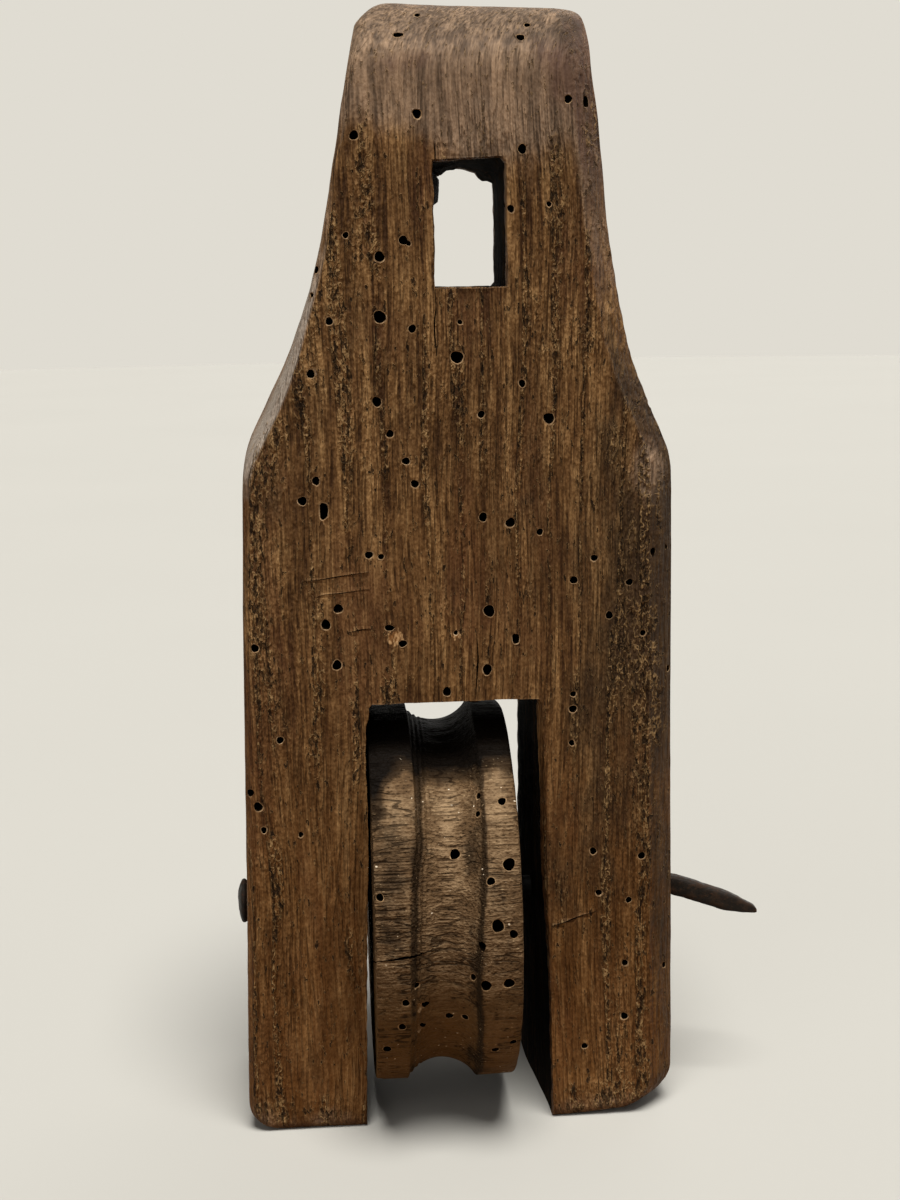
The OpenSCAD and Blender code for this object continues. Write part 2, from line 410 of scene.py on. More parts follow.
def cracks_in(tree, cracks, seed):
    """Cutters for measured cracks."""
    return [crack(tree, w, d, path, seed + i) for i, (w, d, *path) in enumerate(cracks)]


def carve_all(mesh, cutters):
    """Takes cutters out of a mesh in as few rounds as keep them clear of each other."""
    rounds = []
    for cutter in cutters:
        points, _ = points_of(cutter)
        middle, reach = points.mean(axis=0), np.linalg.norm(np.ptp(points, axis=0)) / 2
        for taken in rounds:
            if all(np.linalg.norm(middle - m) > reach + r for _, m, r in taken):
                taken.append((cutter, middle, reach))
                break
        else:
            rounds.append([(cutter, middle, reach)])
    for taken in rounds:
        mesh = carve(mesh, joined("cutter", [cutter for cutter, _, _ in taken]))
    return mesh


def seen_holes(tree, holes, scale, rand, taken):
    """Cutters for worm holes at places measured in the photograph's frame; taken gathers the places."""
    made = []
    for x, y, width, *height in holes:
        seen = seen_at(tree, x, y)
        if not seen:
            continue
        place, normal, distance = seen
        radius = width / 2 * distance / FOCAL_PIXELS * scale
        tall = height[0] / width if height else rand.uniform(0.95, 1.12)
        depth, lip = rand.uniform(3.5, 6.5), rand.uniform(0.14, 0.28)
        taken.append(place)
        made.append(worm_hole(place, -normal, radius, depth, rand, tall, lip))
    return made


def scattered_holes(tree, starts, aim, rand, taken):
    """Cutters for worm holes on sides that the photograph doesn't show, clear of those taken."""
    made = []
    for start in starts:
        hit, normal, _, _ = tree.ray_cast(Vector(np.array(start) * MM), Vector(aim))
        # only where the surface faces the ray
        if hit is None or normal.dot(Vector(aim)) > -0.5:
            continue
        place = np.array(hit) / MM
        if any(np.linalg.norm(place - other) < 4.5 for other in taken):
            continue
        taken.append(place)
        radius = rand.choice((0.65, 0.8, 0.9, 1.0, 1.1, 1.3))
        made.append(worm_hole(place, -normal, radius, rand.uniform(3, 6), rand, rand.uniform(0.9, 1.3)))
    return made


# Shell

# Rounding of the foot: at its left and right ends, and along its front and back
FOOT_LEFT_R, FOOT_RIGHT_R, FOOT_EDGE_R = 7.0, 9.0, 2.0
# The crown rolls over from this height in an arc of this radius
CROWN_START, CROWN_ROLL = 244.7, 18.0
# Its left end is cut off at a slant, and its right end rounded
CUT_OFF_WIDE, CUT_OFF_HIGH, CROWN_RIGHT_R = 6.0, 6.5, 2.6
# Rounding of the upright edges; the front right one is a broad bevel
FRONT_LEFT_R, BEVEL_R, BACK_LEFT_R, BACK_RIGHT_R = 2.6, 6.4, 3.0, 3.4
# How high the right foot stands off the ground
RIGHT_FOOT_LIFT = 1.7
# How much the crown falls for each mm to the right of its highest X
CROWN_SLOPE, CROWN_PEAK_X = 0.036, -13.4
# Height between the outlines that make up the shell
LEVEL_STEP = 1.15


def quarter(radius, distance):
    """How far a rounded corner draws in, this far from its end."""
    gap = np.clip(radius - distance, 0, radius)
    return radius - np.sqrt(np.clip(radius**2 - gap**2, 0, None))


def shell_rail(side, half, left_front, left_back, right, left_r, right_r, flat_share):
    """The front or back half of each level's outline, from the middle of its left side to its right.

    The right edge is round where flat_share is 0 and cut flat where it is 1.
    """
    turn = np.linspace(0, 1, 8)
    in_y = 1 - np.sin(turn * math.pi / 2)
    in_x = 1 - np.cos(turn * math.pi / 2)
    edge = np.linspace(0, 1, 19)[:-1]

    def left_x(y):
        return left_front + (left_back - left_front) * (y + half) / (2 * half)

    parts = []
    y = side * (half - left_r) * edge
    parts.append((left_x(y), y))
    y = side * (half - left_r * in_y)
    parts.append((left_x(y) + left_r * in_x, y))
    corner_x = left_x(side * half) + left_r
    span = np.linspace(0, 1, 92)[1:-1]
    x = corner_x + (right - right_r - corner_x) * span
    parts.append((x, np.broadcast_to(side * half, x.shape)))
    bevel_y = in_y + (1 - turn - in_y) * flat_share
    bevel_x = in_x + (turn - in_x) * flat_share
    parts.append((right - right_r * bevel_x[::-1], side * (half - right_r * bevel_y[::-1])))
    y = side * (half - right_r) * edge[::-1]
    parts.append((np.broadcast_to(right, y.shape), y))
    return np.stack([np.concatenate([p[i] for p in parts], axis=1) for i in (0, 1)], axis=-1)


def shell_blank():
    """The shell before it is bored: a stack of rounded outlines, closed at the foot and the crown."""
    foot = FOOT_LEFT_R * (1 - np.cos(np.linspace(0, math.pi / 2, 10)[:-1]))
    body = np.arange(FOOT_LEFT_R, CROWN_START, LEVEL_STEP)
    crown = CROWN_START + CROWN_ROLL * np.sin(np.linspace(0, math.pi / 2, 28))
    z = np.concatenate((foot, body, crown))[:, None]
    rise = np.clip(z - CROWN_START, 0, None)
    roll = CROWN_ROLL - np.sqrt(np.clip(CROWN_ROLL**2 - rise**2, 0, None))
    half = DEPTH_HALF - roll - quarter(FOOT_EDGE_R, z)
    top = CROWN_START + CROWN_ROLL
    cut_off = CUT_OFF_WIDE * np.clip((z - top + CUT_OFF_HIGH) / CUT_OFF_HIGH, 0, 1) ** 1.7
    draw_in = quarter(FOOT_LEFT_R, z) + cut_off
    left_front = outline_x(LEFT_FRONT, z) + draw_in
    left_back = outline_x(LEFT_BACK, z) + draw_in
    right = outline_x(RIGHT, z) - quarter(FOOT_RIGHT_R, z) - quarter(CROWN_RIGHT_R, top - z)
    rails = []
    for side, left_r, right_r, flat_share in (
        (-1, FRONT_LEFT_R, BEVEL_R, 0.8), (1, BACK_LEFT_R, BACK_RIGHT_R, 0.2),
    ):
        radii = (np.minimum(radius, half * 0.55) for radius in (left_r, right_r))
        rails.append(shell_rail(side, half, left_front, left_back, right, *radii, flat_share))
    rings = []

    def level(outline, row):
        """An outline of X and Y points set at its level's height."""
        return np.column_stack((outline, np.full(len(outline), z[row, 0])))

    def closing(row, steps):
        """Rings that shrink the outline of an end level to its middle line."""
        depth = half[row, 0]
        low = left_front[row, 0] + depth
        high = max(right[row, 0] - depth, low)
        spine = np.clip((rails[0][row, :, 0] + rails[1][row, :, 0]) / 2, low, high)
        spine = np.stack((spine, np.zeros_like(spine)), axis=-1)
        for share in steps:
            ends = [rail[row] + (spine - rail[row]) * share for rail in rails]
            rings.append(level(np.concatenate((ends[0], ends[1][-2:0:-1])), row))

    closing(0, np.linspace(1, 0, 21)[:-1])
    outlines = np.concatenate((rails[0], rails[1][:, -2:0:-1]), axis=1)
    rings += [level(outline, row) for row, outline in enumerate(outlines)]
    closing(-1, np.linspace(0, 1, 7)[1:])
    rings = np.array(rings)
    x, height = rings[..., 0], rings[..., 2]
    rings[..., 2] += RIGHT_FOOT_LIFT * smooth(22, 50, x) * np.clip(1 - height / 25, 0, 1)
    rings[..., 2] -= CROWN_SLOPE * np.clip(x - CROWN_PEAK_X, -3, 40) * smooth(228, 262, height)
    return skin("shell", rings)


def shell_relief(points, normals):
    """How far the hewn and worn surface stands in or out of the true outline, in mm."""
    _, y, z = points.T
    edge = smooth(0.06, 0.3, 1 - np.abs(normals).max(axis=1))
    out = -0.12 + 0.16 * lumps(points, 26, 1) + 0.10 * lumps(points, 11, 2)
    out += 0.05 * lumps(points, (2.2, 2.2, 18), 3) + 0.05 * lumps(points, 3.1, 4)
    # chipped along the edges, less so on the bevel
    chips = np.clip(lumps(points, (6, 6, 9), 5) - 0.1, 0, 1)
    chips += 0.6 * np.clip(lumps(points, 2.6, 6) - 0.2, 0, 1)
    out -= edge * (0.10 + 0.50 * chips) * (1 - 0.5 * smooth(0.3, 0.6, normals[:, 0]))
    # tool ripples round the right shoulder and hewn facets on both flanks
    ridge = smooth(150, 172, z) * (1 - smooth(200, 222, z)) * smooth(0.25, 0.6, normals[:, 0])
    out -= ridge * 0.06 * (1 + np.sin(z * 1.45 + 2.2 * lumps(points, 9, 7) + y * 0.25))
    facets = smooth(0.5, 0.8, np.abs(normals[:, 0])) * smooth(160, 175, z)
    out -= facets * 0.06 * (1 + np.sin(z * 0.42 + y * 0.05 + 1.5 * lumps(points, 20, 8)))
    bottom = smooth(0.7, 0.9, -normals[:, 2])
    return out * (1 - bottom) - bottom * 0.25 * np.clip(lumps(points, 9, 9) + 0.2, 0, 1)


# How far the cutters of the slot and the eye, and of the nail's way, reach from the middle
TUNNEL_HALF, NAIL_WAY_HALF = 27.0, 58.0
NAIL_WAY_R = 2.5
# Y from where to where the eye widens towards the back
EYE_FLARE = (-16, 24)


def tunnel(name, mouth, swell, sag):
    """Cutter along Y through a closed path of X and height: swollen outwards, its roof sagging."""
    mouth = np.array(mouth, float)
    ahead = np.roll(mouth, -1, axis=0) - np.roll(mouth, 1, axis=0)
    outward = np.column_stack((ahead[:, 1], -ahead[:, 0]))
    outward /= np.linalg.norm(outward, axis=1)[:, None]
    rings = []
    steps = 53
    for y in np.linspace(-TUNNEL_HALF, TUNNEL_HALF, steps):
        base = np.column_stack((mouth[:, 0], np.full(len(mouth), y), mouth[:, 1]))
        reach, drop = swell(base, outward), sag(base)
        base[:, 0] += outward[:, 0] * reach
        base[:, 2] += outward[:, 1] * reach - drop
        rings.append(base)
    # Past the first rows at each mouth the walls get the inner material, painted near-black as shade
    kinds = [WOOD if min(row, steps - 2 - row) < 6 else INNER_SHADE for row in range(steps)]
    return skin(name, np.array(rings), fill=True, slots=kinds)


def walk(corners, step):
    """Evenly spaced points round a closed outline of corners."""
    path = []
    for first, last in zip(corners, corners[1:] + corners[:1]):
        count = max(1, round(math.dist(first, last) / step))
        path += [
            (first[0] + (last[0] - first[0]) * i / count, first[1] + (last[1] - first[1]) * i / count)
            for i in range(count)
        ]
    return path


def slot_cutter():
    """The wheel slot: open below, with rough walls, and lips worn back at the front and the back."""
    lean_left = (SLOT_MOUTH_LEFT - SLOT_TOP_LEFT) / SLOT_TOP
    lean_right = (SLOT_MOUTH_RIGHT - SLOT_TOP_RIGHT) / SLOT_TOP
    below = 4.0
    corners = [
        (SLOT_MOUTH_LEFT + lean_left * below, -below), (SLOT_MOUTH_RIGHT + lean_right * below, -below),
        (SLOT_TOP_RIGHT, SLOT_TOP - 0.8), (SLOT_TOP_RIGHT - 0.8, SLOT_TOP),
        (SLOT_TOP_LEFT + 0.5, SLOT_TOP), (SLOT_TOP_LEFT, SLOT_TOP - 0.5),
    ]

    def swell(base, outward):
        x, y, z = base.T
        to_right = smooth(0.5, 1, outward[:, 0])
        to_left = smooth(0.5, 1, -outward[:, 0])
        upward = smooth(0.5, 1, outward[:, 1])
        mouth = smooth(DEPTH_HALF - 1.6, DEPTH_HALF + 0.6, np.abs(y))
        lip = 0.3 + 0.35 * lumps(base, 6, 21)
        lip *= 1 - 0.7 * to_left - 0.8 * to_right - 0.5 * upward
        wall = 0.16 * (1 + lumps(base, (5, 7, 9), 22)) + 0.08 * (1 + lumps(base, 2.5, 23))
        sawn = 0.08 * (1 + np.sin(z * 1.1 + 0.3 * y + lumps(base, 14, 24)))
        # the wheel has rubbed the left wall, and the right wall closes in towards the back
        rubbed = to_left * np.clip(x - RUBBED_X, 0, None) * (1 - smooth(98.5, 102.5, z))
        closing = to_right * smooth(-24, 20, y) * (0.8 + 1.9 * smooth(105, 20, z))
        closing += to_right * smooth(-24.2, -21.0, y) * smooth(30, 70, z) * smooth(24, 10, y)
        return (wall + sawn + mouth * np.clip(lip, 0, None)) * (z > 0) + rubbed - closing

    def sag(base):
        return 0.9 * (base[:, 2] > SLOT_TOP - 1)

    return tunnel("slot", walk(corners, 1.7), swell, sag)


def eye_cutter():
    """The rope eye: chopped through, flaring behind on its right, ragged at the top of the back."""
    mouth = walk(
        [
            (EYE_LEFT, EYE_SILL), (EYE_RIGHT, EYE_SILL), (EYE_RIGHT, EYE_TOP - 1.2),
            (EYE_RIGHT - 1.0, EYE_TOP), (EYE_LEFT, EYE_TOP - 0.6),
        ],
        0.9,
    )

    def swell(base, outward):
        _, y, z = base.T
        behind = smooth(*EYE_FLARE, y)
        lip = smooth(DEPTH_HALF - 1.3, DEPTH_HALF + 0.6, np.abs(y)) * (0.35 + 0.3 * lumps(base, 4, 31))
        flare = 1.7 * behind * smooth(0.5, 1, outward[:, 0])
        # behind, wood stands into the eye at its upper left
        left_lump = -4.3 * behind * smooth(0.5, 1, -outward[:, 0]) * smooth(217, 220, z)
        wall = 0.18 * lumps(base, (3, 5, 4), 33) + 0.12 * lumps(base, 1.6, 34)
        return wall + flare + left_lump + lip

    def sag(base):
        x, y, z = base.T
        drop = 1.2 * smooth(7, 10.4, x) + 1.9 * smooth(10.4, 11.4, x) + 1.5 * smooth(3.5, 1, x) - 0.4
        drop += 0.35 * lumps(base, 1.6, 32)
        return smooth(*EYE_FLARE, y) * smooth(EYE_TOP - 3, EYE_TOP - 1.5, z) * drop

    return tunnel("eye", mouth, swell, sag)


def nail_z(x):
    """Height of the nail's middle: its head sits a little low in the left cheek."""
    return AXLE_Z - 0.7 * (1 - smooth(-50, -22, x))


def nail_cutter():
    """The nail's way through both cheeks, a little wider than the nail and uneven."""
    turn = np.linspace(0, 2 * math.pi, 28, endpoint=False)
    rings = []
    for x in np.linspace(-NAIL_WAY_HALF, NAIL_WAY_HALF, 60):
        reach = NAIL_WAY_R + 0.08 * (1 + np.sin(turn * 3 + x * 0.2))
        rings.append(ring_across(x, np.cos(turn) * reach, nail_z(x) + np.sin(turn) * reach))
    return skin("nail_way", np.array(rings), fill=True, slots=[BORE_SHADE] * len(rings))


def shell_holes(tree, settings):
    """Cutters for the shell's worm holes: those measured, then some on the back, sides and top."""
    rand, taken = Random(settings.seed), []
    holes = seen_holes(tree, SHELL_HOLES, settings.hole_scale, rand, taken)
    behind = [(rand.uniform(-48, 48), 80, rand.uniform(8, 255)) for _ in range(90)]
    behind = [start for start in behind if not (abs(start[0]) < 26 and start[2] < 110)]
    holes += scattered_holes(tree, behind, (0, -1, 0), rand, taken)
    for side in (-1, 1):
        beside = [(side * 90, rand.uniform(-18, 18), rand.uniform(6, 250)) for _ in range(30)]
        # none near the nail, nor where one would notch the flank's outline beside the eye
        beside = [start for start in beside if abs(start[2] - AXLE_Z) > 9 or abs(start[1]) > 9]
        beside = [start for start in beside if abs(start[2] - 208) > 12]
        holes += scattered_holes(tree, beside, (-side, 0, 0), rand, taken)
    above = [(rand.uniform(-14, 28), rand.uniform(-14, 14), 300) for _ in range(9)]
    return holes + scattered_holes(tree, above, (0, 0, -1), rand, taken)


def shell_mesh(settings):
    """The whole shell in mm: hewn, slotted, bored by worms and cracked."""
    mesh = shell_blank()
    points, normals = points_of(mesh)
    points = points + normals * (shell_relief(points, normals) * settings.hewn_depth)[:, None]
    points[:, 2] = np.maximum(points[:, 2], 0)
    move_points(mesh, points)
    tree = tree_of(mesh)
    for cutter in (slot_cutter(), eye_cutter(), nail_cutter()):
        mesh = carve(mesh, cutter)
    return carve_all(mesh, shell_holes(tree, settings) + cracks_in(tree, SHELL_CRACKS, 41))


# Wheel

GROOVE_MIDDLE = (WHEEL_LOW[0] + WHEEL_HIGH[0]) / 2
GROOVE_HALF, GROOVE_DEPTH = 8.3, 4.6
# The left face stands a little further out than the plain wheel's
WHEEL_LEFT = WHEEL_LOW[0] - 0.85
# How far the worn rim stands off the axle's middle, towards the top at rest
OFF_CENTRE = 0.9
BORE_R = 2.8
# Rounding of the rim's outer edges: the left one across and in height, and the right one
LEFT_EDGE_WIDE, LEFT_EDGE_HIGH, RIGHT_EDGE_R = 0.35, 0.5, 0.8


def groove_middle(lift):
    """X of the groove's middle by angle: 0 in front, growing upwards; it wanders left below."""
    return GROOVE_MIDDLE + 0.3 - 1.4 * (1 - smooth(-0.1, 0.64, np.sin(lift)))


def groove_left(lift):
    """X of the groove's left edge by angle, cut back by a ledge near the top."""
    ledge = 1.2 * smooth(0.42, 0.58, lift) * (1 - smooth(1.9, 2.2, lift))
    return groove_middle(lift) - GROOVE_HALF + ledge


def groove_right(lift):
    """X of the groove's right edge by angle, chipped inwards a little below the front."""
    return groove_middle(lift) + GROOVE_HALF - np.exp(-(((lift + 0.1) / 0.45) ** 2))


def worn_rim(place, across, reach):
    """Radius of the worn rim where place is on the round one: grooved, rippled and chipped."""
    hollow = (GROOVE_HALF**2 + GROOVE_DEPTH**2) / (2 * GROOVE_DEPTH)
    lift = np.arctan2(place[:, 2], -place[:, 1])
    past_left = across - groove_left(lift) - 0.25 * lumps(place, 7, 51)
    past_right = across - groove_right(lift) - 0.4 * lumps(place, 12, 52)
    off = np.clip(np.abs(across - groove_middle(lift)), 0, GROOVE_HALF)
    dip = np.sqrt(hollow**2 - off**2) - (hollow - GROOVE_DEPTH)
    dip = dip * smooth(-0.35, 0.15, past_left) * (1 - smooth(-0.3, 0.5, past_right))
    floor = smooth(1.0, 4.5, dip)
    flange = 1 - floor
    # the floor is dented by rope, and its left side cut in steps by the turning tool
    reach = reach - dip - 0.16 * floor * (1 + lumps(place, (9, 2.2, 2.2), 53))
    steps = smooth(-0.6, 0.4, past_left) * smooth(4.4, 2.6, past_left)
    reach -= 0.22 * steps * (1 + np.sin(past_left * 5.2 + 1.4 * lumps(place, 16, 60)))
    # the flanges are rippled along the axle, uneven and chipped at their outer edges
    ripple = 0.5 + 0.5 * lumps(place, 16, 55) ** 2
    reach -= 0.10 * (1 + lumps(place, (14, 1.5, 1.5), 54)) * flange * ripple
    reach -= 0.22 * (1 + lumps(place, 18, 56)) + 0.06 * (1 + lumps(place, 3, 57))
    edge = smooth(2.2, 0.0, across - WHEEL_LEFT) + smooth(2.6, 0.0, WHEEL_HIGH[0] - across)
    return reach - edge * 0.55 * np.clip(lumps(place, 4.5, 58) + 0.1, 0, 1)


def wheel_rings():
    """Rings of the wheel along its section: out over the left face, across the rim and back."""
    left, right = WHEEL_LEFT, WHEEL_HIGH[0]
    turns = 480
    angle = np.linspace(0, 2 * math.pi, turns, endpoint=False)
    faces = np.linspace(BORE_R, WHEEL_R - 1.6, 24)
    section = [(left, r) for r in faces]
    for a in (0, 0.5, 1.1, 1.57):
        x = left + LEFT_EDGE_WIDE * (1 - math.cos(a))
        section.append((x, WHEEL_R - LEFT_EDGE_HIGH + LEFT_EDGE_HIGH * math.sin(a)))
    section += [(x, WHEEL_R) for x in np.linspace(left + 0.9, right - 1.1, 108)]
    for a in np.linspace(0.2, 1.57, 6):
        x = right - RIGHT_EDGE_R + RIGHT_EDGE_R * math.sin(a)
        section.append((x, WHEEL_R - RIGHT_EDGE_R + RIGHT_EDGE_R * math.cos(a)))
    section += [(right, r) for r in faces[::-1]]
    section += [(x, BORE_R) for x in np.linspace(right, left, 8)[1:-1]]
    rings = []
    for x, radius in section:
        across = np.full(turns, x)
        reach = np.full(turns, radius)
        place = ring_across(across, np.cos(angle) * reach, np.sin(angle) * reach)
        if radius > WHEEL_R - 2:
            reach = worn_rim(place, across, reach)
        elif radius > BORE_R + 1:
            side = -1 if x < GROOVE_MIDDLE else 1
            across = across - side * 0.08 * (1 + lumps(place, 6, 59) + 0.5 * np.sin(radius * 1.7))
        reach = reach + OFF_CENTRE * np.sin(angle) * (radius - BORE_R) / (WHEEL_R - BORE_R)
        rings.append(ring_across(across, np.cos(angle) * reach, AXLE_Z + np.sin(angle) * reach))
    return np.array(rings)


def wheel_holes(tree, settings):
    """Cutters for the wheel's worm holes: those measured, then some behind and on both faces."""
    rand, taken = Random(settings.seed), []
    holes = seen_holes(tree, WHEEL_HOLES, settings.hole_scale, rand, taken)
    for _ in range(40):
        angle = rand.uniform(1.2, 4.4)
        x = rand.uniform(WHEEL_LOW[0] + 2, WHEEL_HIGH[0] - 2)
        aim = (0, math.cos(angle), -math.sin(angle))
        start = (x, -math.cos(angle) * 70, AXLE_Z + math.sin(angle) * 70)
        holes += scattered_holes(tree, [start], aim, rand, taken)
    for side in (-1, 1):
        starts = []
        for _ in range(14):
            angle, reach = rand.uniform(0, 6.28), rand.uniform(10, 42)
            starts.append((side * 60, math.cos(angle) * reach, AXLE_Z + math.sin(angle) * reach))
        holes += scattered_holes(tree, starts, (-side, 0, 0), rand, taken)
    return holes


def wheel_mesh(settings):
    """The whole wheel in mm: grooved, rippled by the turning tool, worm-eaten and cracked."""
    mesh = skin("wheel", wheel_rings(), loop=True)
    tree = tree_of(mesh)
    return carve_all(mesh, wheel_holes(tree, settings) + cracks_in(tree, WHEEL_CRACKS, 61))


# Nail

# The tail's stations beyond the right cheek: X, top and bottom in mm
TAIL = (
    (51.5, 53.3, 48.6), (53, 53.0, 48.0), (56, 52.4, 47.2), (60, 51.3, 46.1), (65, 49.7, 44.5),
    (68.5, 48.5, 43.5), (72, 46.9, 43.1), (74.5, 45.5, 42.9), (75.7, 44.8, 42.8), (76.3, 44.1, 43.0),
)
# Degrees that the tail is turned towards the front
TAIL_SWING = 10.0
SHANK_R = 2.4
# The head's stations from its crown to the shank: X from the nail's left end, and radius
HEAD = (
    (0.0, 0.25), (0.04, 1.2), (0.16, 2.3), (0.36, 3.3), (0.62, 4.1), (0.82, 4.6), (0.98, 5.0),
    (1.25, 5.25), (1.6, 5.3), (1.95, 5.15), (2.2, 4.8), (2.38, 4.2), (2.42, 3.2), (2.6, 2.6),
    (3.2, SHANK_R),
)


def nail_rings():
    """Rings of the nail from the middle of its head to the tip of its tail."""
    turn = np.linspace(0, 2 * math.pi, 40, endpoint=False)
    cosine, sine = np.cos(turn), np.sin(turn)
    stations = []
    for x, radius in HEAD:
        drop = 0.25 * smooth(2.5, 5, radius)
        uneven = 1 + 0.05 * np.sin(turn * 2 + 0.6) + 0.035 * np.sin(turn * 5 + 1) if radius > 2.6 else 1
        narrow = 1 - 0.10 * np.clip(sine, 0, 1) if radius > 3 else 1
        middle = nail_z(NAIL_LEFT + x) - drop
        stations.append((NAIL_LEFT + x, 0, middle, radius * uneven * narrow, radius * uneven, 0.0))
    for x in np.linspace(NAIL_LEFT + 5, 50.5, 60):
        stations.append((x, 0, nail_z(x), SHANK_R, SHANK_R, 0.0))
    tail_x, tail_top, tail_low = np.array(TAIL).T
    for x in np.linspace(51.9, TAIL[-1][0], 46):
        top, low = np.interp(x, tail_x, tail_top), np.interp(x, tail_x, tail_low)
        y = -math.tan(math.radians(TAIL_SWING)) * max(0.0, x - 52.5)
        deep = 1.9 * (1 - 0.45 * float(smooth(68, 77, x)))
        square = float(smooth(51, 56, x))
        stations.append((x, y, (top + low) / 2, deep, (top - low) / 2, square))
    rings = []
    for x, y, z, deep, tall, square in stations:
        bulge = 1 + (blunt(turn, 4) - 1) * square
        rings.append(ring_across(x, y + cosine * deep * bulge, z + sine * tall * bulge))
    return np.array(rings)


def nail_mesh(settings):
    """The whole nail in mm: hammered head, round shank and a flattened tail, pitted by rust."""
    mesh = skin("nail", nail_rings(), fill=True)
    points, normals = points_of(mesh)
    open_part = 1 - smooth(-50.5, -49.5, points[:, 0]) * (1 - smooth(50, 52, points[:, 0]))
    pits = 0.10 * lumps(points, (2.6, 1.6, 1.6), 71) + 0.06 * lumps(points, 0.9, 72)
    pits -= 0.14 * np.clip(lumps(points, (5, 2.5, 2.5), 73) - 0.1, 0, 1)
    move_points(mesh, points + normals * (pits * open_part * settings.pitting)[:, None])
    return mesh


# Materials


class Socket:
    """A value in a material's node tree; arithmetic written on it in Python adds the nodes."""

    def __init__(self, graph, link):
        self.graph = graph
        self.link = link

    def _join(self, operation, *terms):
        wide = any(isinstance(t, tuple) or isinstance(t, Socket) and t.link.type != "VALUE" for t in terms)
        kind = "ShaderNodeVectorMath" if wide else "ShaderNodeMath"
        return self.graph.add(kind, {"operation": operation}, dict(enumerate(terms)))

    def __add__(self, other):
        return self._join("ADD", self, other)

    def __sub__(self, other):
        return self._join("SUBTRACT", self, other)

    def __rsub__(self, other):
        return self._join("SUBTRACT", other, self)

    def __mul__(self, other):
        return self._join("MULTIPLY", self, other)

    def __truediv__(self, other):
        return self._join("DIVIDE", self, other)

    __radd__ = __add__
    __rmul__ = __mul__

    def fraction(self):
        """The part after the whole number."""
        return self._join("FRACT", self)

    def size(self):
        """Length of a vector, or a number without its sign."""
        if self.link.type == "VALUE":
            return self._join("ABSOLUTE", self)
        return self.graph.add("ShaderNodeVectorMath", {"operation": "LENGTH"}, {0: self}, out="Value")

    def most(self, other):
        """The larger of two numbers."""
        return self._join("MAXIMUM", self, other)

    def held(self):
        """The number kept from 0 to 1."""
        return self.graph.add("ShaderNodeMath", {"operation": "ADD", "use_clamp": True}, {0: self, 1: 0.0})

    def between(self, low, high):
        """0 at low, 1 at high and an even curve between them."""
        return self.graph.add(
            "ShaderNodeMapRange", {"interpolation_type": "SMOOTHSTEP"},
            {"Value": self, "From Min": low, "From Max": high}, out="Result",
        )

    def part(self, name):
        """One of a vector's X, Y and Z."""
        return self.graph.add("ShaderNodeSeparateXYZ", {}, {0: self}, out=name)


class Graph:
    """A material's or the world's node tree, built from Python expressions."""

    def __init__(self, owner):
        owner.use_nodes = True
        self.owner = owner
        self.tree = owner.node_tree
        self.tree.nodes.clear()

    def add(self, kind, settings, sockets, out=0):
        """Adds a node: its settings first, then its sockets' values or links; gives one output."""
        node = self.tree.nodes.new(kind)
        for name, value in settings.items():
            if name == "stops":
                ramp = node.color_ramp
                while len(ramp.elements) < len(value):
                    ramp.elements.new(0.5)
                for element, (position, colour) in zip(ramp.elements, value):
                    element.position = position
                    element.color = (*colour, 1)
            else:
                setattr(node, name, value)
        for name, value in sockets.items():
            target = node.inputs[name]
            plain = isinstance(value, (int, float))
            if isinstance(value, Socket):
                self.tree.links.new(value.link, target)
            elif target.type == "RGBA":
                target.default_value = (value, value, value, 1) if plain else (*value, 1)
            elif target.type == "VECTOR" and plain:
                target.default_value = (value, value, value)
            else:
                target.default_value = value
        return Socket(self, node.outputs[out]) if len(node.outputs) else node

    def place(self):
        """Where a point is on the object, in mm."""
        return self.add("ShaderNodeTexCoord", {}, {}, out="Object") * (1 / MM, 1 / MM, 1 / MM)

    def combined(self, x, y, z):
        """A vector out of three numbers."""
        return self.add("ShaderNodeCombineXYZ", {}, {0: x, 1: y, 2: z})

    def noise(self, place, size, detail=2.0, rough=0.5, shift=None, out=0, bend=0.0):
        """Cloudy values from 0 to 1, with lumps about size mm across; a shift picks other clouds."""
        place = place * tuple(1 / part for part in size)
        sockets = {"Vector": place + shift if shift else place, "Scale": 1.0}
        sockets.update({"Detail": detail, "Roughness": rough, "Distortion": bend})
        return self.add("ShaderNodeTexNoise", {}, sockets, out=out)

    def painted(self, name):
        """A value that the mesh holds for each point."""
        return self.add("ShaderNodeAttribute", {"attribute_name": name}, {}, out="Fac")

    def mix(self, first, second, share):
        """A colour between two colours."""
        settings = {"data_type": "RGBA", "clamp_factor": True}
        return self.add("ShaderNodeMix", settings, {0: share, 6: first, 7: second}, out=2)

    def ramp(self, value, *stops):
        """A colour picked by a number along stops of position and colour."""
        return self.add("ShaderNodeValToRGB", {"stops": stops}, {0: value})

    def bump(self, height, depth):
        """Surface direction tilted by a height from 0 to 1, standing for depth mm."""
        return self.add("ShaderNodeBump", {}, {"Strength": 1.0, "Distance": depth * MM, "Height": height})

    def surface(self, colour, roughness, normal=None, specular=0.5, metal=0.0):
        """Ends the tree with the main shader and gives the material; specular is the same all over."""
        sockets = {"Base Color": colour, "Roughness": roughness}
        sockets.update({"Specular IOR Level": specular, "Metallic": metal})
        if normal is not None:
            sockets["Normal"] = normal
        shader = self.add("ShaderNodeBsdfPrincipled", {}, sockets)
        self.add("ShaderNodeOutputMaterial", {}, {"Surface": shader})
        return self.owner


def tree_for(name):
    """The empty node tree of a new material."""
    return Graph(bpy.data.materials.new(name))


def scaled(colour, share):
    """A colour made darker or lighter."""
    return tuple(share * part for part in colour)


# Growth rings of the plank: their width, and the tree's middle behind the plank to its left
RING_WIDTH, PITH = 6.0, (-120.0, 75.0)
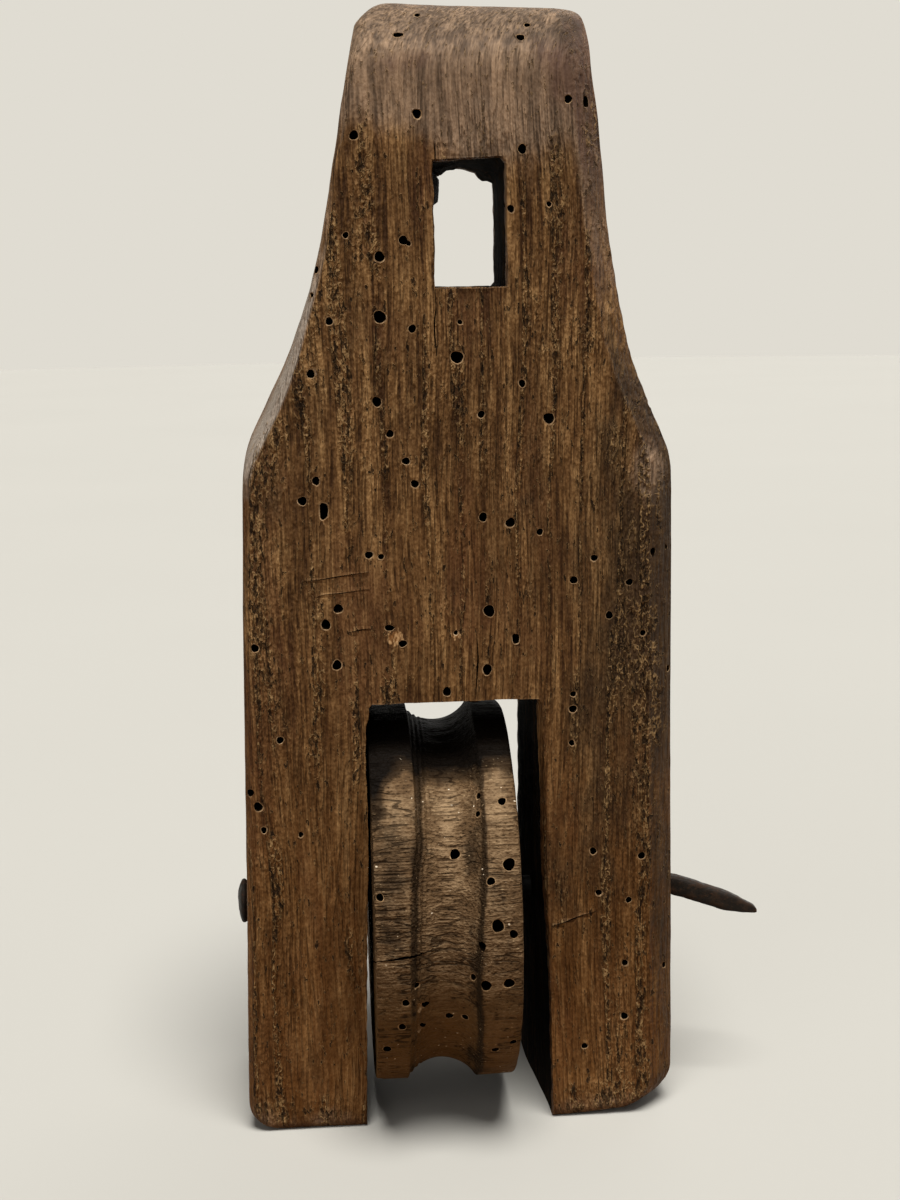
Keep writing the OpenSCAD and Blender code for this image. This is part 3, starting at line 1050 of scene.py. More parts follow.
# Tones of dust and torn wood on the shell, of specks and crevices (dirt and painted shade) on the wheel, of
# hole lips, of the painted shade in holes and under the slot's roof, and of soot, grease and rust
DUST_DARK, DUST_PALE = srgb(26, 16, 7), srgb(70, 49, 27)
TORN_DARK, TORN_PALE = srgb(122, 82, 44), srgb(196, 158, 112)
FLECK_PALE, CHALK_SPECK, CREVICE_DIRT_AND_SHADE, ROOF_SHADOW_AND_SOOT = (
    srgb(186, 160, 122), srgb(226, 210, 184), srgb(24, 15, 8), srgb(10, 7, 5)
)
LIP_DARK, LIP_PALE, LIP_SOOT_AND_SHADE = srgb(84, 62, 42), srgb(196, 172, 138), srgb(16, 11, 7)
BORE_SHADE_BLACK, BORE_SHADE_BROWN = srgb(6, 4, 2), srgb(22, 14, 8)
RUST_BRIGHT, GREASE_AND_SHADE_BLACK = srgb(120, 80, 52), srgb(6, 5, 4)


def wavy(graph, place):
    """The place pushed about sideways, so that the grain wanders along its length."""
    wander = graph.noise(place, (45, 45, 150), out="Color") - (0.5, 0.5, 0.5)
    return place + wander * (9.0, 9.0, 0.0)


def plank_grain(graph, place):
    """The plank's figure: places measured along its rings, early wood, fine hairs and broad bands."""
    bent = wavy(graph, place)
    reach = (bent * (1.0, 1.0, 0.0) - (*PITH, 0.0)).size()
    uneven = graph.noise(bent, (11, 11, 200), 3.0)
    phase = (reach / RING_WIDTH + uneven * 2.6).fraction()
    early = (1 - phase.between(0.15, 0.4)) * phase.between(0.0, 0.1)
    # hairs and pores are drawn out along the rings as well as along the grain
    x, y, z = (bent.part(name) for name in "XYZ")
    turn = graph.add("ShaderNodeMath", {"operation": "ARCTAN2"}, {0: y - PITH[1], 1: x - PITH[0]})
    bent = graph.combined(reach, turn * 55.0, z)
    hair = graph.noise(bent, (0.38, 0.38, 9), 1.0)
    band = graph.noise(bent, (2.3, 2.3, 60), 3.0, 0.6)
    return bent, early, hair, band


def creases(graph, place, size, thick, shift=None):
    """Thin wandering lines, 1 along their middle: the level lines of a cloudy noise."""
    level = graph.noise(place, size, 1.5, shift=shift, bend=0.15) - 0.5
    return 1 - level.size().between(thick * 0.35, thick)


def shell_wood(settings, name):
    """Dark, greasy, ring-porous wood with weathered edges, crumbled pores and dirt."""
    graph = tree_for(name)
    place = graph.place()
    bent, early, hair, band = plank_grain(graph, place)
    speck = graph.noise(bent, (0.5, 0.5, 1.3), 1.5)
    crust = graph.noise(bent, (1.2, 1.2, 3.6), shift=(4, 7, 2))
    streak = graph.noise(bent, (0.8, 0.8, 26), 1.5, shift=(2, 5, 9))
    cloud = graph.noise(place, (13, 13, 30), 4.0, 0.6)
    patch = graph.noise(place, (5, 5, 16), 4.0, 0.65, shift=(11, 3, 8))
    weather, crumble, oiled = (graph.painted(wear) for wear in ("weather", "crumble", "oiled"))
    # 1 where the early wood has crumbled, 0 on the sound wood between; the crown is rubbed smooth
    early = early * (crumble + 1.0).held()
    eaten = early * 0.65 + crumble * 0.3 + (cloud - 0.5) * 1.8 + (patch - 0.5) * 1.3
    eaten = (eaten + (band - 0.5) * 0.8 + 0.17).between(0.1, 1.0)
    # Brown wood, redder and darker in places and greasy below
    tone = 0.5 + (hair - 0.5) * 0.6 + (band - 0.5) * 0.7 + (streak - 0.5) * 0.5 + (patch - 0.5) * 0.5
    tone = tone - early * 0.07 + 0.02 + graph.painted("worn") * 0.2
    tone = tone + (speck - 0.5) * (0.32 + eaten * 0.4)
    stops = (0.28, settings.wood_dark), (0.5, settings.wood_mid), (0.73, settings.wood_light)
    colour = graph.ramp(tone, *stops)
    red = graph.noise(place, (13, 13, 50), 3.0, 0.6, shift=(31, 7, 3)).between(0.46, 0.62)
    colour = graph.mix(colour, settings.wood_red, red * 0.4)
    deep = graph.noise(place, (9, 9, 36), 5.0, 0.65, shift=(17, 4, 5)).between(0.46, 0.62)
    colour = graph.mix(colour, settings.wood_dark, deep * (0.35 + oiled * 0.4))
    colour = graph.mix(colour, settings.oiled, oiled * (patch * 0.9))
    # Greyed wood, plum where hands have rubbed it and a pale painted sheen on the left shoulder
    dim, bright = (scaled(settings.weathered, share) for share in (0.45, 1.7))
    pale = graph.ramp(tone - early * 0.06, (0.28, dim), (0.5, settings.weathered), (0.75, bright))
    plum = graph.noise(place, (9, 9, 11), 3.0, 0.6, shift=(3, 1, 6)) - 0.5
    plum = (graph.painted("rubbed") + plum).between(0.2, 0.7)
    pale = graph.mix(pale, settings.plum, plum * 0.7)
    grey = (weather + (cloud - 0.5) * 0.9 + (patch - 0.5) * 0.5).between(0.2, 0.8)
    colour = graph.mix(colour, pale, grey * 0.85)
    # Painted sheen: palest grey on the left shoulder
    colour = graph.mix(colour, settings.painted_sheen, (weather - 1.6).held() * (0.5 + streak * 0.55))
    dirt = graph.painted("soot") + (cloud - 0.5) * 1.5 + (crust - 0.5) * 0.4
    colour = graph.mix(colour, settings.grime, dirt.between(0.27, 0.85) * 0.8)
    # Pits, creases along the fibres and torn pale splinters
    pit = graph.noise(bent, (0.7, 0.7, 2.8), 2.5, 0.6) + eaten * 0.13
    pits = pit.between(0.66, 0.685)
    rim = pit.between(0.62, 0.65) * (1 - pits)
    crease = creases(graph, bent, (1.3, 1.3, 22), 0.045) * patch.between(0.4, 0.55)
    splinter = creases(graph, bent, (1.0, 1.0, 2.6), 0.055, (9, 4, 6)) * eaten.between(0.25, 0.7)
    colour = graph.mix(colour, settings.fleck, (splinter * 0.7).most(rim * 0.35))
    colour = graph.mix(colour, settings.fleck, speck.between(0.63, 0.68) * eaten * 0.8)
    pore = hair.between(0.37, 0.29) * (0.35 + early * 0.65)
    hollow = (pore * 0.5).most(pits * 0.9).most(crease * 0.35)
    dust = graph.mix(DUST_DARK, DUST_PALE, speck.between(0.45, 0.6))
    colour = graph.mix(colour, dust, hollow * (1 - grey * 0.35))
    # Freshly torn wood beside a few worm holes
    raw = graph.mix(TORN_DARK, TORN_PALE, speck.between(0.4, 0.6))
    colour = graph.mix(colour, raw, (graph.painted("raw") + (speck - 0.5) * 0.9).between(0.35, 0.55))
    height = hair * 0.55 + streak * 0.35 + patch * 0.4 + crust * (0.25 + eaten * 0.4)
    height = height + speck * (0.3 + eaten * 0.35) + splinter * 0.18 + rim * 0.08
    height = height - pore * 0.14 - pits * 0.35 - crease * 0.18
    height = height * (crumble * 0.5 + 1).held()
    return graph.surface(colour, 0.5 + speck * 0.2 + hollow * 0.3, graph.bump(height, 1.3), 0.1)


def shaded_inner_wood(settings, name):
    """The wood inside the slot and the eye, painted near-black as shade."""
    graph = tree_for(name)
    bent, _, hair, band = plank_grain(graph, graph.place())
    speck = graph.noise(bent, (0.9, 0.9, 1.9), 3.0, 0.75)
    tone = 0.5 + (hair - 0.5) * 0.7 + (band - 0.5) * 0.9 + (speck - 0.5) * 0.7
    black, brown = scaled(settings.inner_shade_black, 0.25), scaled(settings.wood_mid, 0.3)
    colour = graph.ramp(tone, (0.25, black), (0.55, settings.inner_shade_black), (0.8, brown))
    height = hair * 0.5 + band * 0.5 + speck * 0.6
    return graph.surface(colour, 0.8 + speck * 0.2, graph.bump(height, 0.45), 0.02)


def wheel_wood(settings, name):
    """Drier wood with its grain along the axle, wrinkled by rope and water, smudged and specked."""
    graph = tree_for(name)
    x, y, z = (graph.place().part(axis) for axis in "XYZ")
    place = graph.combined(y, z, x)
    speck = graph.noise(place, (0.5, 0.5, 0.9), 1.5)
    crust = graph.noise(place, (1.3, 1.3, 2.4), shift=(4, 7, 2))
    cloud = graph.noise(place, (7, 7, 9), 5.0, 0.65)
    line = graph.noise(place, (0.6, 0.6, 14), 1.5, shift=(8, 2, 4), bend=0.25)
    grit = graph.noise(place, (0.55, 0.55, 0.8), shift=(1, 5, 3))
    smudge = graph.noise(place, (14, 14, 8), 4.0, 0.65, shift=(5, 9, 2))
    soot = graph.painted("soot")
    # The turning tool's lines stand out where lined is 1; the rest is finely gritty
    lined = (graph.painted("lined") + (cloud - 0.5) * 1.2).held()
    tone = 0.5 + (grit - 0.5) * 0.4 + (line - 0.5) * (0.15 + lined * 0.5) + (crust - 0.5) * 0.3
    # Worn spots are lighter; along the groove's middle they are a painted highlight
    tone = tone + (cloud - 0.5) * 0.6 + graph.painted("worn") * 0.2
    stops = (0.22, settings.wood_dark), (0.5, settings.wood_mid), (0.8, settings.wood_light)
    colour = graph.ramp(tone, *stops)
    colour = graph.mix(colour, settings.oiled, graph.painted("oiled") * (0.2 + crust * 0.9))
    dirt = soot + (cloud - 0.5) * 1.2 + (smudge - 0.5) * 1.6 + (crust - 0.5) * 0.5
    colour = graph.mix(colour, settings.grime, dirt.between(0.25, 0.85) * 0.85)
    flecks = speck.between(0.66, 0.72) * cloud.between(0.45, 0.6)
    colour = graph.mix(colour, FLECK_PALE, flecks * 0.6)
    chalk = graph.noise(place, (0.9, 0.9, 0.9), 0.0, shift=(7, 7, 1)).between(0.84, 0.87)
    colour = graph.mix(colour, CHALK_SPECK, chalk)
    # Dark in the tool's lines, creases and pits: dirt, and painted shade under the ridges
    crevice = line.between(0.45, 0.38) * lined
    pit = (grit + (cloud - 0.5) * 0.3).between(0.32, 0.28)
    crease = creases(graph, wavy(graph, place), (2.2, 2.2, 12), 0.04, (3, 8, 1))
    crease = crease * smudge.between(0.45, 0.56)
    hollow = (crevice * 0.65).most(crease * 0.7).most(pit * 0.6)
    colour = graph.mix(colour, CREVICE_DIRT_AND_SHADE, hollow)
    # Painted shadow of the slot's roof, with some soot: the top is painted black
    black = (soot * 1.4 - 1.4 + (crust - 0.5) * 0.8).held()
    colour = graph.mix(colour, ROOF_SHADOW_AND_SOOT, black * (0.86 + cloud * 0.18))
    height = line * (0.15 + lined * 0.45) + grit * 0.45 + crust * 0.4 + cloud * 0.5
    height = height - crevice * 0.15 - crease * 0.25 - pit * 0.15
    return graph.surface(colour, 0.5 + speck * 0.2 + hollow * 0.3, graph.bump(height, 1.0), 0.04)


def raw_wood(settings, name):
    """The paler wood that shows in the splayed lip of a worm hole, black where the wood is sooty and under
    painted shadow.
    """
    graph = tree_for(name)
    speck = graph.noise(graph.place(), (0.9, 0.9, 0.9), 3.0, 0.7)
    stops = (0.3, LIP_DARK), (0.55, settings.lip_colour), (0.75, LIP_PALE)
    colour = graph.ramp(speck, *stops)
    # Black on sooty wood and under the painted shadow on the wheel's top
    colour = graph.mix(colour, LIP_SOOT_AND_SHADE, (graph.painted("soot") * 1.4 - 0.9).held())
    return graph.surface(colour, 0.8, graph.bump(speck, 0.1), 0.1)


def shaded_bore(name):
    """The inside of a worm hole or a crack, painted near-black as shade."""
    graph = tree_for(name)
    speck = graph.noise(graph.place(), (0.7, 0.7, 0.7), 3.0, 0.7)
    colour = graph.ramp(speck, (0.35, BORE_SHADE_BLACK), (0.7, BORE_SHADE_BROWN))
    return graph.surface(colour, 0.95, graph.bump(speck, 0.1), 0.0)


def forged_iron(settings, name):
    """Black iron with a brown skin of rust."""
    graph = tree_for(name)
    cloud = graph.noise(graph.place(), (3.2, 2.2, 2.2), 4.0, 0.65)
    speck = graph.noise(graph.place(), (0.6, 0.6, 0.6), 3.0, 0.7)
    rust = (cloud + (speck - 0.5) * 0.5).between(0.42, 0.66)
    colour = graph.mix(settings.iron, settings.rust, rust)
    colour = graph.mix(colour, RUST_BRIGHT, (speck.between(0.62, 0.72) * rust) * 0.5)
    # Painted shade with grease over the shank inside the block, and a little grease on the head
    colour = graph.mix(colour, GREASE_AND_SHADE_BLACK, graph.painted("grease") * 0.95)
    height = cloud * 0.7 + speck * 0.5
    return graph.surface(colour, 0.5 + rust * 0.35, graph.bump(height, 0.3), 0.15, 0.15)


def studio_floor(settings, name):
    """A plain pale floor."""
    graph = tree_for(name)
    cloud = graph.noise(graph.place(), (300, 300, 300))
    colour = graph.mix(settings.floor_colour, scaled(settings.floor_colour, 0.96), cloud)
    colour = graph.mix(settings.floor_bounce, colour, seen_directly(graph))
    return graph.surface(colour, 0.9, specular=0.1)


def seen_directly(graph):
    """1 where the camera, a reflection or glass sees the surface, and 0 for the light it throws."""
    path = graph.add("ShaderNodeLightPath", {}, {}, out="Is Camera Ray")
    outputs = path.link.node.outputs
    glossy, through = (Socket(graph, outputs[name]) for name in ("Is Glossy Ray", "Is Transmission Ray"))
    return path.most(glossy).most(through)


# Settings


def tint(name, description, *rgb):
    """A colour setting, its default written in 0 to 255."""
    return FloatVectorProperty(
        name=name, description=description, default=srgb(*rgb), subtype="COLOR", min=0.0, max=1.0
    )


def amount(name, description, default, high=2.0):
    """A setting for a strength or a share."""
    return FloatProperty(
        name=name, description=description, default=default, subtype="FACTOR", min=0.0, max=high
    )


class ShellSettings(PropertyGroup):
    """Sizes and colours of the hewn shell."""

    hewn_depth: amount("Hewn depth", "Strength of the hewn relief, as a share of the real one", 1.0)
    hole_scale: amount("Hole size", "Size of the worm holes, as a share of the measured one", 0.92)
    seed: IntProperty(name="Seed", description="Picks another scatter of the unseen worm holes", default=7)
    wood_dark: tint("Dark grain", "Darkest tone of the grain", 62, 40, 21)
    wood_mid: tint("Middle grain", "Middle tone of the grain", 114, 83, 50)
    wood_light: tint("Light grain", "Lightest tone of the grain", 166, 130, 86)
    wood_red: tint("Red patches", "Tone of the reddish patches", 100, 66, 43)
    oiled: tint("Oiled", "Tone of the greasy lower half", 106, 66, 26)
    plum: tint("Plum", "Tone of the rubbed dirt on the crown", 98, 74, 64)
    weathered: tint("Weathered", "Tone of the greyed crown and edges", 134, 113, 93)
    # Painted sheen on the left shoulder
    painted_sheen: tint("Sheen", "Tone of the palest grey on the left shoulder", 172, 161, 148)
    grime: tint("Grime", "Tone of the handled, sooty parts", 50, 38, 26)
    fleck: tint("Flecks", "Tone of the pale crumbs along the worn edges", 160, 130, 88)
    # The inside of the slot and the eye, painted near-black as shade
    inner_shade_black: tint("Inner walls", "Tone of the blackened slot and eye", 15, 11, 7)
    lip_colour: tint("Hole lips", "Tone of the raw wood round a worm hole", 158, 130, 96)


class WheelSettings(PropertyGroup):
    """Sizes and colours of the grooved wheel."""

    hole_scale: amount("Hole size", "Size of the worm holes, as a share of the measured one", 1.0)
    seed: IntProperty(name="Seed", description="Picks another scatter of the unseen worm holes", default=11)
    wood_dark: tint("Dark grain", "Darkest tone of the grain", 42, 30, 18)
    wood_mid: tint("Middle grain", "Middle tone of the grain", 100, 78, 54)
    wood_light: tint("Light grain", "Lightest tone of the grain", 160, 134, 102)
    oiled: tint("Oiled", "Tone of the greasy lower half", 108, 79, 43)
    grime: tint("Grime", "Tone of the dirt beside the groove", 34, 24, 14)
    lip_colour: tint("Hole lips", "Tone of the raw wood round a worm hole", 150, 122, 88)


class NailSettings(PropertyGroup):
    """Relief and colours of the iron nail."""

    pitting: amount("Pitting", "Strength of the rust pits, as a share of the real one", 1.0)
    iron: tint("Iron", "Tone of the bare black iron", 28, 22, 17)
    rust: tint("Rust", "Tone of the rust", 56, 42, 32)


class StageSettings(PropertyGroup):
    """The floor, the light and the camera."""

    floor_colour: tint("Floor", "Tone of the plain floor", 186, 185, 179)
    backdrop: tint("Backdrop", "Tone seen behind the floor", 224, 220, 210)
    floor_bounce: tint("Floor bounce", "Tone of the light that the floor throws back up", 112, 82, 46)
    key_strength: amount("Key light", "Strength of the broad soft lamp high above the front", 4.3, 10)
    fill_strength: amount("Fill light", "Strength of the weak soft lamp from the left", 0.55, 10)
    back_strength: amount("Back light", "Strength of the weak lamp behind the block", 0.7, 10)
    sky: amount("Sky", "Strength of the even light from all round", 0.09)


# Operators


class PULLEY_OT_shell(Operator):
    """Build the hewn wooden shell with its slot, eye, worm holes and cracks"""

    bl_idname = "pulley.shell"
    bl_label = "Build Shell"
    bl_options = {"REGISTER", "UNDO"}

    def execute(self, context):
        settings = context.scene.pulley_shell
        mesh = shell_mesh(settings)
        paint_shell(mesh)
        materials = [
            shell_wood(settings, "shell_wood"), raw_wood(settings, "shell_hole_lips"),
            shaded_bore("shell_shaded_bores"), shaded_inner_wood(settings, "shell_shaded_inner_wood"),
        ]
        place_piece("shell_hewn", mesh, materials, "block", "shell")
        return {"FINISHED"}


class PULLEY_OT_wheel(Operator):
    """Build the grooved wooden wheel that turns in the slot"""

    bl_idname = "pulley.wheel"
    bl_label = "Build Wheel"
    bl_options = {"REGISTER", "UNDO"}

    def execute(self, context):
        settings = context.scene.pulley_wheel
        mesh = wheel_mesh(settings)
        paint_wheel(mesh)
        materials = [
            wheel_wood(settings, "wheel_wood"), raw_wood(settings, "wheel_hole_lips"),
            shaded_bore("wheel_shaded_bores"),
        ]
        place_piece("wheel_grooved", mesh, materials, "wheel", "sheave")
        return {"FINISHED"}


class PULLEY_OT_nail(Operator):
    """Build the forged nail that the wheel turns on"""

    bl_idname = "pulley.nail"
    bl_label = "Build Nail"
    bl_options = {"REGISTER", "UNDO"}

    def execute(self, context):
        settings = context.scene.pulley_nail
        mesh = nail_mesh(settings)
        paint_nail(mesh)
        materials = [forged_iron(settings, "forged_iron")]
        place_piece("nail_forged", mesh, materials, "block", "axle_nail", 50)
        return {"FINISHED"}


class PULLEY_OT_stage(Operator):
    """Lay the floor, hang the lamps and set up the camera"""

    bl_idname = "pulley.stage"
    bl_label = "Build Stage"
    bl_options = {"REGISTER", "UNDO"}

    def execute(self, context):
        settings = context.scene.pulley_stage
        lay_floor(settings)
        hang_lamps(settings)
        light_world(context.scene, settings)
        set_camera(context.scene)
        context.scene.view_settings.view_transform = "Standard"
        return {"FINISHED"}


# Painted wear

# Soft spots in the photograph's frame: pixels across and down, reach across and down, and share
GREY_SPOTS = (
    (650, 470, 18, 36, 1.1), (500, 120, 66, 44, 0.6), (378, 70, 8, 55, 0.35), (272, 460, 14, 60, 0.2),
    (330, 540, 40, 60, 0.12), (400, 60, 40, 20, -0.25), (420, 205, 60, 40, -0.2), (375, 160, 50, 50, -0.4),
    (520, 215, 50, 40, 0.15), (465, 104, 66, 28, 0.5),
)
SOOT_SPOTS = (
    (468, 158, 42, 9, 0.5), (272, 505, 20, 34, 0.6), (262, 640, 10, 120, 0.2), (616, 640, 64, 170, 0.7),
    (640, 540, 26, 70, 0.35), (455, 690, 110, 14, 0.25), (560, 30, 30, 26, 0.3), (355, 40, 14, 30, 0.4),
    (605, 400, 26, 60, 0.45), (590, 880, 60, 160, 0.42), (470, 560, 60, 110, 0.22),
    (650, 470, 16, 32, -1.0), (475, 330, 70, 120, 0.2), (390, 205, 40, 60, 0.2),
)
TORN_SPOTS = ((395, 638, 9, 8, 1.0), (456, 635, 5.5, 5.5, 0.8), (324, 521, 4, 3, 0.7), (413, 327, 4, 4, 0.5))
WORN_SPOTS = ((313, 1068, 15, 36, 0.9), (470, 100, 60, 34, 0.3))
OILED_SPOTS = ((470, 560, 80, 90, 0.25),)
RUBBED_SPOTS = ((570, 66, 38, 44, 0.8), (412, 62, 40, 18, 0.6), (652, 468, 18, 30, -0.8))
# Soot spots on the wheel; the two strongest, high on the left flange, carry the painted shadow of the slot's
# roof further down
WHEEL_SOOT_AND_SHADE_SPOTS = (
    (392, 880, 22, 60, 0.72), (373, 785, 9, 26, 2.0), (384, 772, 16, 12, 1.1), (500, 900, 12, 20, 0.2),
    (392, 945, 16, 14, 0.3), (434, 880, 7, 8, 0.5), (470, 860, 9, 70, 0.2), (510, 780, 8, 20, 0.25),
)
# Lighter spots on the wheel: worn bare, and a painted highlight along the middle of the groove
WHEEL_WORN_AND_HIGHLIGHT_SPOTS = (
    (448, 805, 11, 26, 1.1), (396, 812, 16, 28, 0.8), (498, 800, 12, 40, 0.6), (448, 880, 11, 30, 0.5),
    (495, 870, 12, 30, 0.4), (500, 910, 10, 12, 0.3), (497, 1010, 16, 60, 0.6), (445, 1000, 16, 40, 0.3),
)
WHEEL_LINED_SPOTS = (
    (392, 880, 24, 36, 1.0), (392, 910, 24, 18, 0.6), (449, 850, 11, 50, 0.9), (449, 905, 13, 20, 0.6),
    (500, 850, 14, 60, 0.3),
)


# Pixels across and down over which the front grows sooty towards the right shoulder
SOOTY_ACROSS, SOOTY_DOWN = (420, 560), (330, 520)
# The bevel's outer edge below the shoulder, pixels across, and where its crumbling starts, down
BEVEL_EDGE, CRUMBLED_DOWN = 654, (470, 520)


def dabs(points, spots):
    """The sum of soft spots where the photograph's camera sees the points."""
    across, down = pixels_of(points)
    total = np.zeros(len(points))
    for x, y, wide, high, share in spots:
        total += share * np.exp(-(((across - x) / wide) ** 2) - ((down - y) / high) ** 2)
    return total


def paint_shell(mesh):
    """Where the shell is greyed and given a painted sheen, darkened and sooty, oiled, crumbled, rubbed by
    hands, worn bare and torn.
    """
    points, normals = points_of(mesh)
    x, y, z = points.T
    across, down = pixels_of(points)
    front = smooth(0.1, 0.5, -normals[:, 1])
    sideways = smooth(0.3, 0.6, np.abs(normals[:, 0]))
    edge = smooth(0.05, 0.35, 1 - np.abs(normals).max(axis=1))
    from_right = np.interp(z, *np.array(RIGHT).T) - x
    from_left = x - np.interp(z, *np.array(LEFT_FRONT).T)
    # The dark band down the right bevel; below the shoulder its border is ragged
    border = from_right + 1.3 * lumps(points, (4, 4, 9), 91) * smooth(165, 150, z)
    border -= 1.5 * lumps(points, (7, 7, 16), 92) * smooth(165, 150, z)
    band = smooth(8.4, 4.6, border) * smooth(-0.2, 0.1, normals[:, 0])

    # Greyed on the crown, the foot and the left edge; a painted sheen greys the left-facing sides above the
    # shoulders and most of all the left shoulder
    weather = 0.7 * smooth(225, 250, z) + 0.3 * smooth(205, 235, z) * np.abs(normals[:, 1])
    weather += 0.18 * smooth(8, 1.5, from_left) * smooth(120, 60, z) + 0.45 * smooth(10, 1, z)
    weather += 0.5 * smooth(-0.55, -0.8, normals[:, 0]) * smooth(150, 165, z)
    weather += 0.55 * band * smooth(180, 205, z) + front * dabs(points, GREY_SPOTS)
    # Painted sheen on the left shoulder's slope
    left_slope = smooth(150, 160, z) * smooth(212, 196, z) * (x < -16)
    weather += 2.4 * left_slope * smooth(-0.25, -0.5, normals[:, 0]) * smooth(50, -20, y)

    # Darker along the edges and down the band, sooty in spots, and oiled from the shoulders down
    soot = 0.12 * edge + band * (0.6 - 0.4 * smooth(165, 200, z) - 0.25 * smooth(120, 80, z))
    soot += 0.22 * front * smooth(*SOOTY_ACROSS, across) * smooth(*SOOTY_DOWN, down) * smooth(118, 150, z)
    soot += front * dabs(points, SOOT_SPOTS)

    oiled = smooth(150, 60, z) * (0.35 + 0.65 * smooth(150, 20, z))
    oiled += dabs(points, OILED_SPOTS)

    # Crumbled at both edges and at the foot, smooth on the crown, the sides and the legs
    crumble = (smooth(16, 4, from_left) + 0.8 * smooth(26, 8, from_right)) * (1 - 0.8 * smooth(215, 240, z))
    crumble -= 0.25 + 0.9 * smooth(226, 246, z) - 0.25 * smooth(150, 165, z) * smooth(200, 185, z)
    crumble += 0.4 * smooth(60, 0, BEVEL_EDGE - across) * smooth(*CRUMBLED_DOWN, down)
    crumble += 1.3 * smooth(12, 2, z) - 0.35 * smooth(110, 60, z)
    crumble = np.clip(crumble, -1.3, 1) * smooth(0.75, 0.95, np.abs(normals[:, 1]))
    crumble -= 1.2 * smooth(0.3, 0.6, normals[:, 2]) * smooth(235, 245, z)
    crumble -= sideways * (0.25 + 0.25 * smooth(150, 170, z))

    # Rubbed by hands on the right, worn bare in spots but not on top, and freshly torn
    rubbed = 0.5 * smooth(0.3, 0.6, normals[:, 0]) + 0.3 * smooth(200, 180, z)
    rubbed += dabs(points, RUBBED_SPOTS)
    worn = front * dabs(points, WORN_SPOTS)
    worn -= 0.65 * smooth(0.2, 0.7, normals[:, 2]) * smooth(235, 250, z)
    raw = front * dabs(points, TORN_SPOTS)
    paint(mesh, weather=weather, soot=soot, oiled=oiled, crumble=crumble, rubbed=rubbed, worn=worn, raw=raw)


def paint_nail(mesh):
    """Where the nail is darkened: painted shade with grease over the shank inside the block, and a little
    grease on its head.
    """
    x = points_of(mesh)[0][:, 0]
    inside = smooth(-50, -49, x) * smooth(52.5, 51, x)
    paint(mesh, grease=inside + 0.35 * smooth(-50, -51, x))


def paint_wheel(mesh):
    """Where the wheel is sooty, painted black on top as shadow, worn bare and given a painted highlight,
    lined by the turning tool and oiled.
    """
    points, _ = points_of(mesh)
    x, y, z = points.T
    front = y < 0
    radius = np.hypot(y, z - AXLE_Z)
    lift = np.arctan2(z - AXLE_Z, -y)
    offset = np.abs(x - GROOVE_MIDDLE)
    walls = smooth(3.2, 5.0, offset) * (1 - smooth(7.5, 9.0, offset)) * smooth(38, 41, radius)
    faces = smooth(WHEEL_R - 2, WHEEL_R - 6, radius) * (offset > 14)
    # Darker on the groove's walls and edges and on the flat faces; black on top, painted shadow of the
    # slot's roof with some soot
    soot = 0.25 * walls + 0.25 * faces + 2.0 * smooth(0.86, 1.14, lift) * smooth(2.4, 2.1, lift)
    soot += 0.6 * np.exp(-(((x - groove_left(lift) - 0.7) / 0.9) ** 2))
    inside = groove_right(lift) - x
    soot += 0.7 * np.exp(-((inside / 0.6) ** 2)) + 0.2 * smooth(5.5, 1, inside)
    soot += front * dabs(points, WHEEL_SOOT_AND_SHADE_SPOTS)
    # Worn bare in spots, with a painted highlight along the groove's middle
    worn = front * dabs(points, WHEEL_WORN_AND_HIGHLIGHT_SPOTS)
    lined = 0.15 + front * dabs(points, WHEEL_LINED_SPOTS)
    paint(mesh, soot=soot, worn=worn, lined=lined, oiled=smooth(-0.05, -0.55, np.sin(lift)))


# Stage

KEY_LIGHT, SOFT_LIGHT, SKY_LIGHT = (1.0, 0.97, 0.93), (1.0, 0.98, 0.96), (1.0, 0.985, 0.96)
# Height of the camera's film in mm, which the lens is worked out from
FILM_HEIGHT = 36.0


def lay_floor(settings):
    """A wide plain floor under the feet."""
    mesh = bpy.data.meshes.new("floor")
    work = bmesh.new()
    bmesh.ops.create_circle(work, cap_ends=True, segments=96, radius=4.0)
    work.to_mesh(mesh)
    work.free()
    mesh.materials.append(studio_floor(settings, "floor_plain"))
    floor = bpy.data.objects.new("floor", mesh)
    bpy.context.scene.collection.objects.link(floor)


def hang_lamps(settings):
    """A broad soft lamp high above the front, and weak ones from the left and from behind."""
    for name, towards, spread, strength, colour in (
        ("key", (0.05, -0.30, 1.0), 0.5, settings.key_strength, KEY_LIGHT),
        ("fill", (-0.7, -1.0, 0.45), 1.0, settings.fill_strength, SOFT_LIGHT),
        ("back", (0.6, 1.0, 0.5), 1.0, settings.back_strength, SOFT_LIGHT),
    ):
        data = bpy.data.lights.new(name, "SUN")
        data.angle = spread
        data.energy = strength
        data.color = colour
        lamp = bpy.data.objects.new(name, data)
        lamp.location = towards
        lamp.rotation_euler = Vector(towards).to_track_quat("Z", "Y").to_euler()
        bpy.context.scene.collection.objects.link(lamp)


def light_world(scene, settings):
    """An even sky, with a plain pale backdrop where the camera or a reflection sees it."""
    world = bpy.data.worlds.new("studio")
    scene.world = world
    graph = Graph(world)
    sky = graph.add("ShaderNodeBackground", {}, {"Color": SKY_LIGHT, "Strength": settings.sky})
    back = graph.add("ShaderNodeBackground", {}, {"Color": settings.backdrop, "Strength": 1.0})
    shown = graph.add("ShaderNodeMixShader", {}, {0: seen_directly(graph), 1: sky, 2: back})
    graph.add("ShaderNodeOutputWorld", {}, {"Surface": shown})


